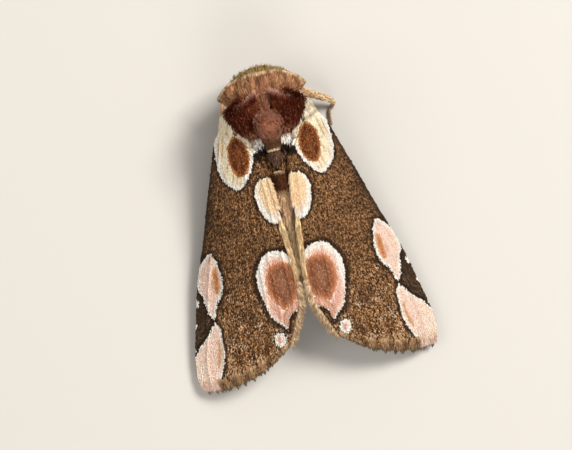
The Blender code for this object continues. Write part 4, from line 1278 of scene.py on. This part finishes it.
def saddleCoat():                     # between the forewings, from the crest back along the ridge
    count = bodyHair["saddle"]
    y, turn, spot, out, unwrap = bodyRoots("saddle", count, (-1.7, 1.7), inset=0.06)
    x = np.abs(spot[:, 0])
    golden, brown, dark = ground["fleckTints"]
    share = chance.random(count)
    tips = np.where((share < 0.26)[:, None], golden, np.where((share > 0.66)[:, None], dark, brown))
    tips = blendTints(tips, bodyHair["mouse"], np.clip((y - 7.4) / 0.3, 0, 0.8))
    tips = blendTints(tips, edgeHair["pale"], np.clip((y - 9.0) / 0.6, 0, 0.8) * (share > 0.3))
    tips = blendTints(tips, bodyHair["black"], np.clip((5.38 - y) / 0.12, 0, 0.95))
    tips = blendTints(tips, white, np.clip((4.82 + 0.3 * (x - 0.8) - y) / 0.08, 0, 1) * (x > 0.45))
    tips = blendTints(tips, tegula["rear"], np.clip((4.25 + 0.2 * (x - 0.8) - y) / 0.15, 0, 0.8))
    lie = stacked(-0.1 * np.sign(spot[:, 0]), 1.0, 0.0)
    long = np.interp(y, [4.3, 5.2, 8.0, 12.0], [0.3, 0.3, 0.45, 0.8])
    # Darker roots as painted shade at the base of the hair, less dark under the white hairs in front.
    return brushed(spot, out, lie, (0.08, 0.35), 0.07, long, tips, unwrap,
                   root=np.where(y < 4.8, 0.9, 0.6)[:, None])


def bodyCoat(form, count):
    y, turn, spot, out, unwrap = bodyRoots(form, count)
    share = chance.random(count)
    top = np.clip(np.cos(turn) * 2, 0, 1)
    tips = blendTints(bodyHair["buff"], bodyHair["brown"], share * 0.35 + 0.3 * top)
    if form == "thorax":
        tips = blendTints(tips, tint(120, 74, 54), top * 0.9)
        tips = blendTints(tips, crestHair["pale"], (y < 3.0) * (np.abs(spot[:, 0]) < 0.75) * top * 0.7)
        tips = blendTints(tips, bodyHair["black"], np.clip((y - 4.7) / 0.2, 0, 0.9) * top)
    else:
        tips = blendTints(tips, edgeHair["peach"], np.clip((y - 11.5) / 1.5, 0, 0.8) * (share < 0.8))
    forward = (form == "thorax") & (y < 2.9) & (top > 0.5)
    lie = stacked(0.35 * np.sin(turn), np.where(forward, -1.0, 1.0), -0.15)
    long = np.where(top > 0.5, 1.0, 0.8) * bodyHair["long"] * chance.uniform(0.7, 1.15, count)
    # Darker roots: painted shade at the base of the hair.
    return makeCoat(spot, out, leaned(lie, out, chance.uniform(0.12, 0.4, count)),
                    bodyHair["wide"], long, tips * 0.6, shaded(tips, 0.12, count), unwrap)


# Short scale hair on the legs and palps, straw coloured, lying towards the feet.
legHair = {"count": 1040, "long": 0.26, "rootLong": 0.34, "wide": 0.062, "straw": tint(255, 222, 178),
           "brown": tint(188, 142, 96), "dark": tint(140, 104, 72)}


def limbCoat(path, count):
    share = chance.uniform(0.0, 0.99, count)
    turn = chance.uniform(0, 2 * math.pi, count)
    spot, out, ahead = limbSpot(path, share, turn)
    tips = blendTints(legHair["straw"], legHair["brown"], (chance.random(count) > 0.8) * 0.6)
    tips = blendTints(tips, legHair["dark"], np.clip((share - 0.72) / 0.1, 0, 0.7))
    lean = chance.uniform(0.05, 0.35, count) * np.interp(share, [0.6, 0.8], [1, 0.4])
    long = legHair["long"] * np.interp(share, [0, 0.4, 0.75, 1], [1.1, 1.15, 0.6, 0.4])
    wide = legHair["wide"] * np.interp(share, [0.6, 0.8], [1, 0.6])
    # Darker roots: painted shade at the base of the hair.
    coat = makeCoat(spot, out, leaned(ahead, out, lean), wide,
                    long * chance.uniform(0.7, 1.1, count), tips * 0.65,
                    shaded(tips, 0.1, count), stacked(turn / 2 / math.pi, share))
    return keptRoots(coat, (spot[:, 2] > 0.16) | (out[:, 2] > -0.2))


def rootCoat(root, path):
    count = root["count"]
    share, turn = chance.uniform(0, 0.95, count), chance.uniform(0, 2 * math.pi, count)
    spot, out, ahead = limbSpot(path, share, turn, rootSizes(root))
    tips = blendTints(legHair["straw"], bodyHair["brown"], 0.4 + 0.5 * chance.random(count))
    return brushed(spot, out, ahead, (0.1, 0.4), 0.07, legHair["rootLong"], tips,
                   stacked(turn / 2 / math.pi, share), shade=0.12)


def makeBodyCoats():
    head = clumped(headCoat(), bend=0.2)
    neck = clumped(joinedCoats(collarCoat(1), collarCoat(-1)), 0.3, 0.25, 0.35)
    shoulders, ball = clumped(tegulaCoat(), 0.25, 0.5, 0.5), clumped(crestCoat(), 0.22, 0.4, 0.3)
    overRoot, middle = clumped(shoulderCoat(), 0.3, 0.1, 0.15), clumped(neckCoat(), 0.2, 0.3)
    second = clumped(smallTuftCoat("secondTuft", bodyHair["grey"], (2.0, 2.1)), 0.16, 0.4, 0.6)
    third = clumped(smallTuftCoat("thirdTuft", bodyHair["dark"], (-0.2, 0.12)), 0.16, 0.4, 0.6)
    saddle = clumped(saddleCoat(), 0.2, 0.2, 0.3)
    thorax = clumped(bodyCoat("thorax", bodyHair["thorax"]))
    abdomen = clumped(bodyCoat("abdomen", bodyHair["abdomen"]), 0.4, 0.2, 0.25)
    legs = [clumped(limbCoat(path, legHair["count"]), 0.3, 0.15, 0.25) for path in limbs.values()]
    stems = clumped(joinedCoats(*(rootCoat(root, path) for root, path in rootPaths())))
    paired = joinedCoats(shoulders, mirroredCoat(shoulders))
    overRoots = joinedCoats(overRoot, mirroredCoat(overRoot))
    allRoots.extend([head, neck, paired, overRoots, middle, ball, second, third, saddle, thorax,
                     abdomen, stems, *legs])
    for name, coat, tuft, slot, *rest in (
            ("head_hair", head, "hair", "head_fur"),
            ("collar_hair", neck, "hair", "collar_fur", ["collar"], 0.15, 0.04),
            ("tegula_hair", paired, "hair", "tegula_fur", ["tegula_left", "tegula_right"]),
            ("shoulder_hair", overRoots, "plainHair", "tegula_fur"),
            ("neck_hair", middle, "hair", "thorax_fur"),
            ("crest_hair", ball, "hair", "crest_fur", ["thorax_crest"], 0.15, 0.06),
            ("abdomen_tufts", joinedCoats(second, third), "hair", "abdomen_fur"),
            ("saddle_hair", saddle, "plainHair", "abdomen_fur"),
            ("thorax_hair", thorax, "plainHair", "thorax_fur"),
            ("abdomen_hair", abdomen, "plainHair", "abdomen_fur"),
            ("leg_hair", joinedCoats(stems, *legs), "plainHair", "leg_fur",
             sorted(limbs))):
        layCoat(name, coat, tuft, hairMaterial, slot, *rest)


makeBodyCoats()
makeSkin()
print("body made")


# Eyes, feelers and the coiled tongue.
def eyeTint(tree):
    place = addNode(tree, "ShaderNodeTexCoord").outputs["Object"]
    facets = addNode(tree, "ShaderNodeTexVoronoi", {"Vector": place, "Scale": 14000},
                     feature="DISTANCE_TO_EDGE")
    ramp = addNode(tree, "ShaderNodeValToRGB", {"Fac": facets.outputs["Distance"]})
    rim, middle = ramp.color_ramp.elements
    rim.color = (0.004, 0.003, 0.002, 1)
    middle.color, middle.position = (0.035, 0.02, 0.012, 1), 0.3
    return ramp.outputs["Color"]


def makeEyes():
    eyeMaterial = makeMaterial("dark faceted eye", finishes["eye"], eyeTint)
    for label, side in (("left", 1), ("right", -1)):
        ball = ballRings(40, 48, 0.03) * eye["radius"] + np.array(eye["middle"]) * np.array([side, 1, 1])
        finishPiece(meshObject("eye_ball_" + label, *closedTube(ball), eyeMaterial), "eye",
                    ["eye_" + label])


feeler = {
    "path": [(0.46, 0.06, 3.5), (1.13, 0.2, 3.52), (1.84, 0.5, 3.12), (2.3, 1.25, 2.45),
             (2.7, 2.4, 2.1), (3.1, 3.7, 2.0), (3.6, 5.2, 1.7), (3.95, 8.2, 1.1)],
    "rings": 110, "width": 0.19, "tipWidth": 0.11,
    "pale": tint(160, 120, 80), "brown": tint(100, 68, 42),
}
tongue = {"middle": (0.22, 1.55), "radius": 0.3, "rings": 60, "width": 0.24, "tint": tint(96, 60, 34)}


def ringCoat(path, count, width, tipWidth, first, second):
    share = np.arange(count) / count
    middle, ahead, across, over = limbFrame(path, share)
    following = limbFrame(path, (np.arange(count) + 1.12) / count)[0]
    long = np.linalg.norm(following - middle, axis=1)
    tips = blendTints(first, second, np.arange(count) % 2 * 0.35 + 0.2)
    wide = width + (tipWidth - width) * share
    return makeCoat(middle, over, unit(following - middle), wide, long, tips * 0.6, tips,
                    stacked(share, share * 0 + 0.5))


def makeFeelers():
    left = ringCoat(feeler["path"], feeler["rings"], feeler["width"], feeler["tipWidth"],
                    feeler["pale"], feeler["brown"])
    for label, coat in (("left", left), ("right", mirroredCoat(left))):
        layCoat("feeler_" + label, coat, "ring", hairMaterial, "feeler", ["antenna_" + label],
                0.0, 0.0)
    turns = np.radians(np.linspace(-60, 240, 13))
    path = [(0.0, tongue["middle"][0] + tongue["radius"] * math.cos(turn),
             tongue["middle"][1] + tongue["radius"] * math.sin(turn)) for turn in turns]
    coil = ringCoat(path, tongue["rings"], tongue["width"], tongue["width"] * 0.8,
                    tongue["tint"], tongue["tint"] * 0.7)
    layCoat("tongue", coil, "ring", hairMaterial, "feeler", ["proboscis"], 0.0, 0.0)


makeEyes()
makeFeelers()
print("eyes and feelers made")


# The plain stage, the light and the camera.
stage = {
    "floorSize": 0.6, "floorTint": (0.5, 0.485, 0.46, 1), "turn": 12.05, "height": 0.16,
    "target": (0.00025, 0.0002, 0.0025), "tilt": 0.4, "fieldOfView": 12.89,
    "lights": [("key", (-0.21, -0.11, 0.26), 0.12, 1.75), ("fill", (0.22, -0.02, 0.22), 0.2, 0.3),
               ("back", (-0.02, 0.26, 0.2), 0.2, 0.4)],
    "lightTint": (1.0, 0.96, 0.91), "airTint": (1.0, 0.97, 0.92, 1), "airPower": 0.36,
}


def makeStage():
    half = stage["floorSize"] / 2
    mesh = bpy.data.meshes.new("floor")
    mesh.from_pydata([(-half, -half, 0), (half, -half, 0), (half, half, 0), (-half, half, 0)], [],
                     [(0, 1, 2, 3)])
    paper = bpy.data.materials.new("pale paper")
    paper.use_nodes = True
    feed(paper.node_tree, paper.node_tree.nodes["Principled BSDF"],
         {"Base Color": stage["floorTint"], "Roughness": 0.9})
    mesh.materials.append(paper)
    addObject("floor", mesh)
    for name, place, size, power in stage["lights"]:
        lamp = bpy.data.lights.new(name, "AREA")
        lamp.size, lamp.energy, lamp.color = size, power, stage["lightTint"]
        made = addObject(name, lamp)
        made.location = place
        made.rotation_euler = (-Vector(place)).to_track_quat("-Z", "Y").to_euler()
    world = bpy.data.worlds.new("studio")
    world.use_nodes = True
    feed(world.node_tree, world.node_tree.nodes["Background"],
         {"Color": stage["airTint"], "Strength": stage["airPower"]})
    bpy.context.scene.world = world
    bpy.context.scene.view_settings.view_transform = "Standard"


def makeCamera():
    seen = bpy.data.cameras.new("photo view")
    seen.lens_unit = "FOV"
    seen.angle = math.radians(stage["fieldOfView"])
    seen.clip_start, seen.clip_end = 0.01, 5
    camera = addObject("photo view", seen)
    turn, tilt = math.radians(stage["turn"]), math.radians(stage["tilt"])
    up = Vector((-math.sin(turn), -math.cos(turn), 0))
    away = Vector((-math.sin(tilt), 0, math.cos(tilt)))
    right = up.cross(away).normalized()
    up = away.cross(right).normalized()
    camera.rotation_mode = "QUATERNION"
    camera.rotation_quaternion = Matrix((right, up, away)).transposed().to_quaternion()
    camera.location = Vector(stage["target"]) + away * (stage["height"] - stage["target"][2])
    bpy.context.scene.camera = camera


makeStage()
makeCamera()

for template in tufts.values():
    bpy.data.objects.remove(template, do_unlink=True)
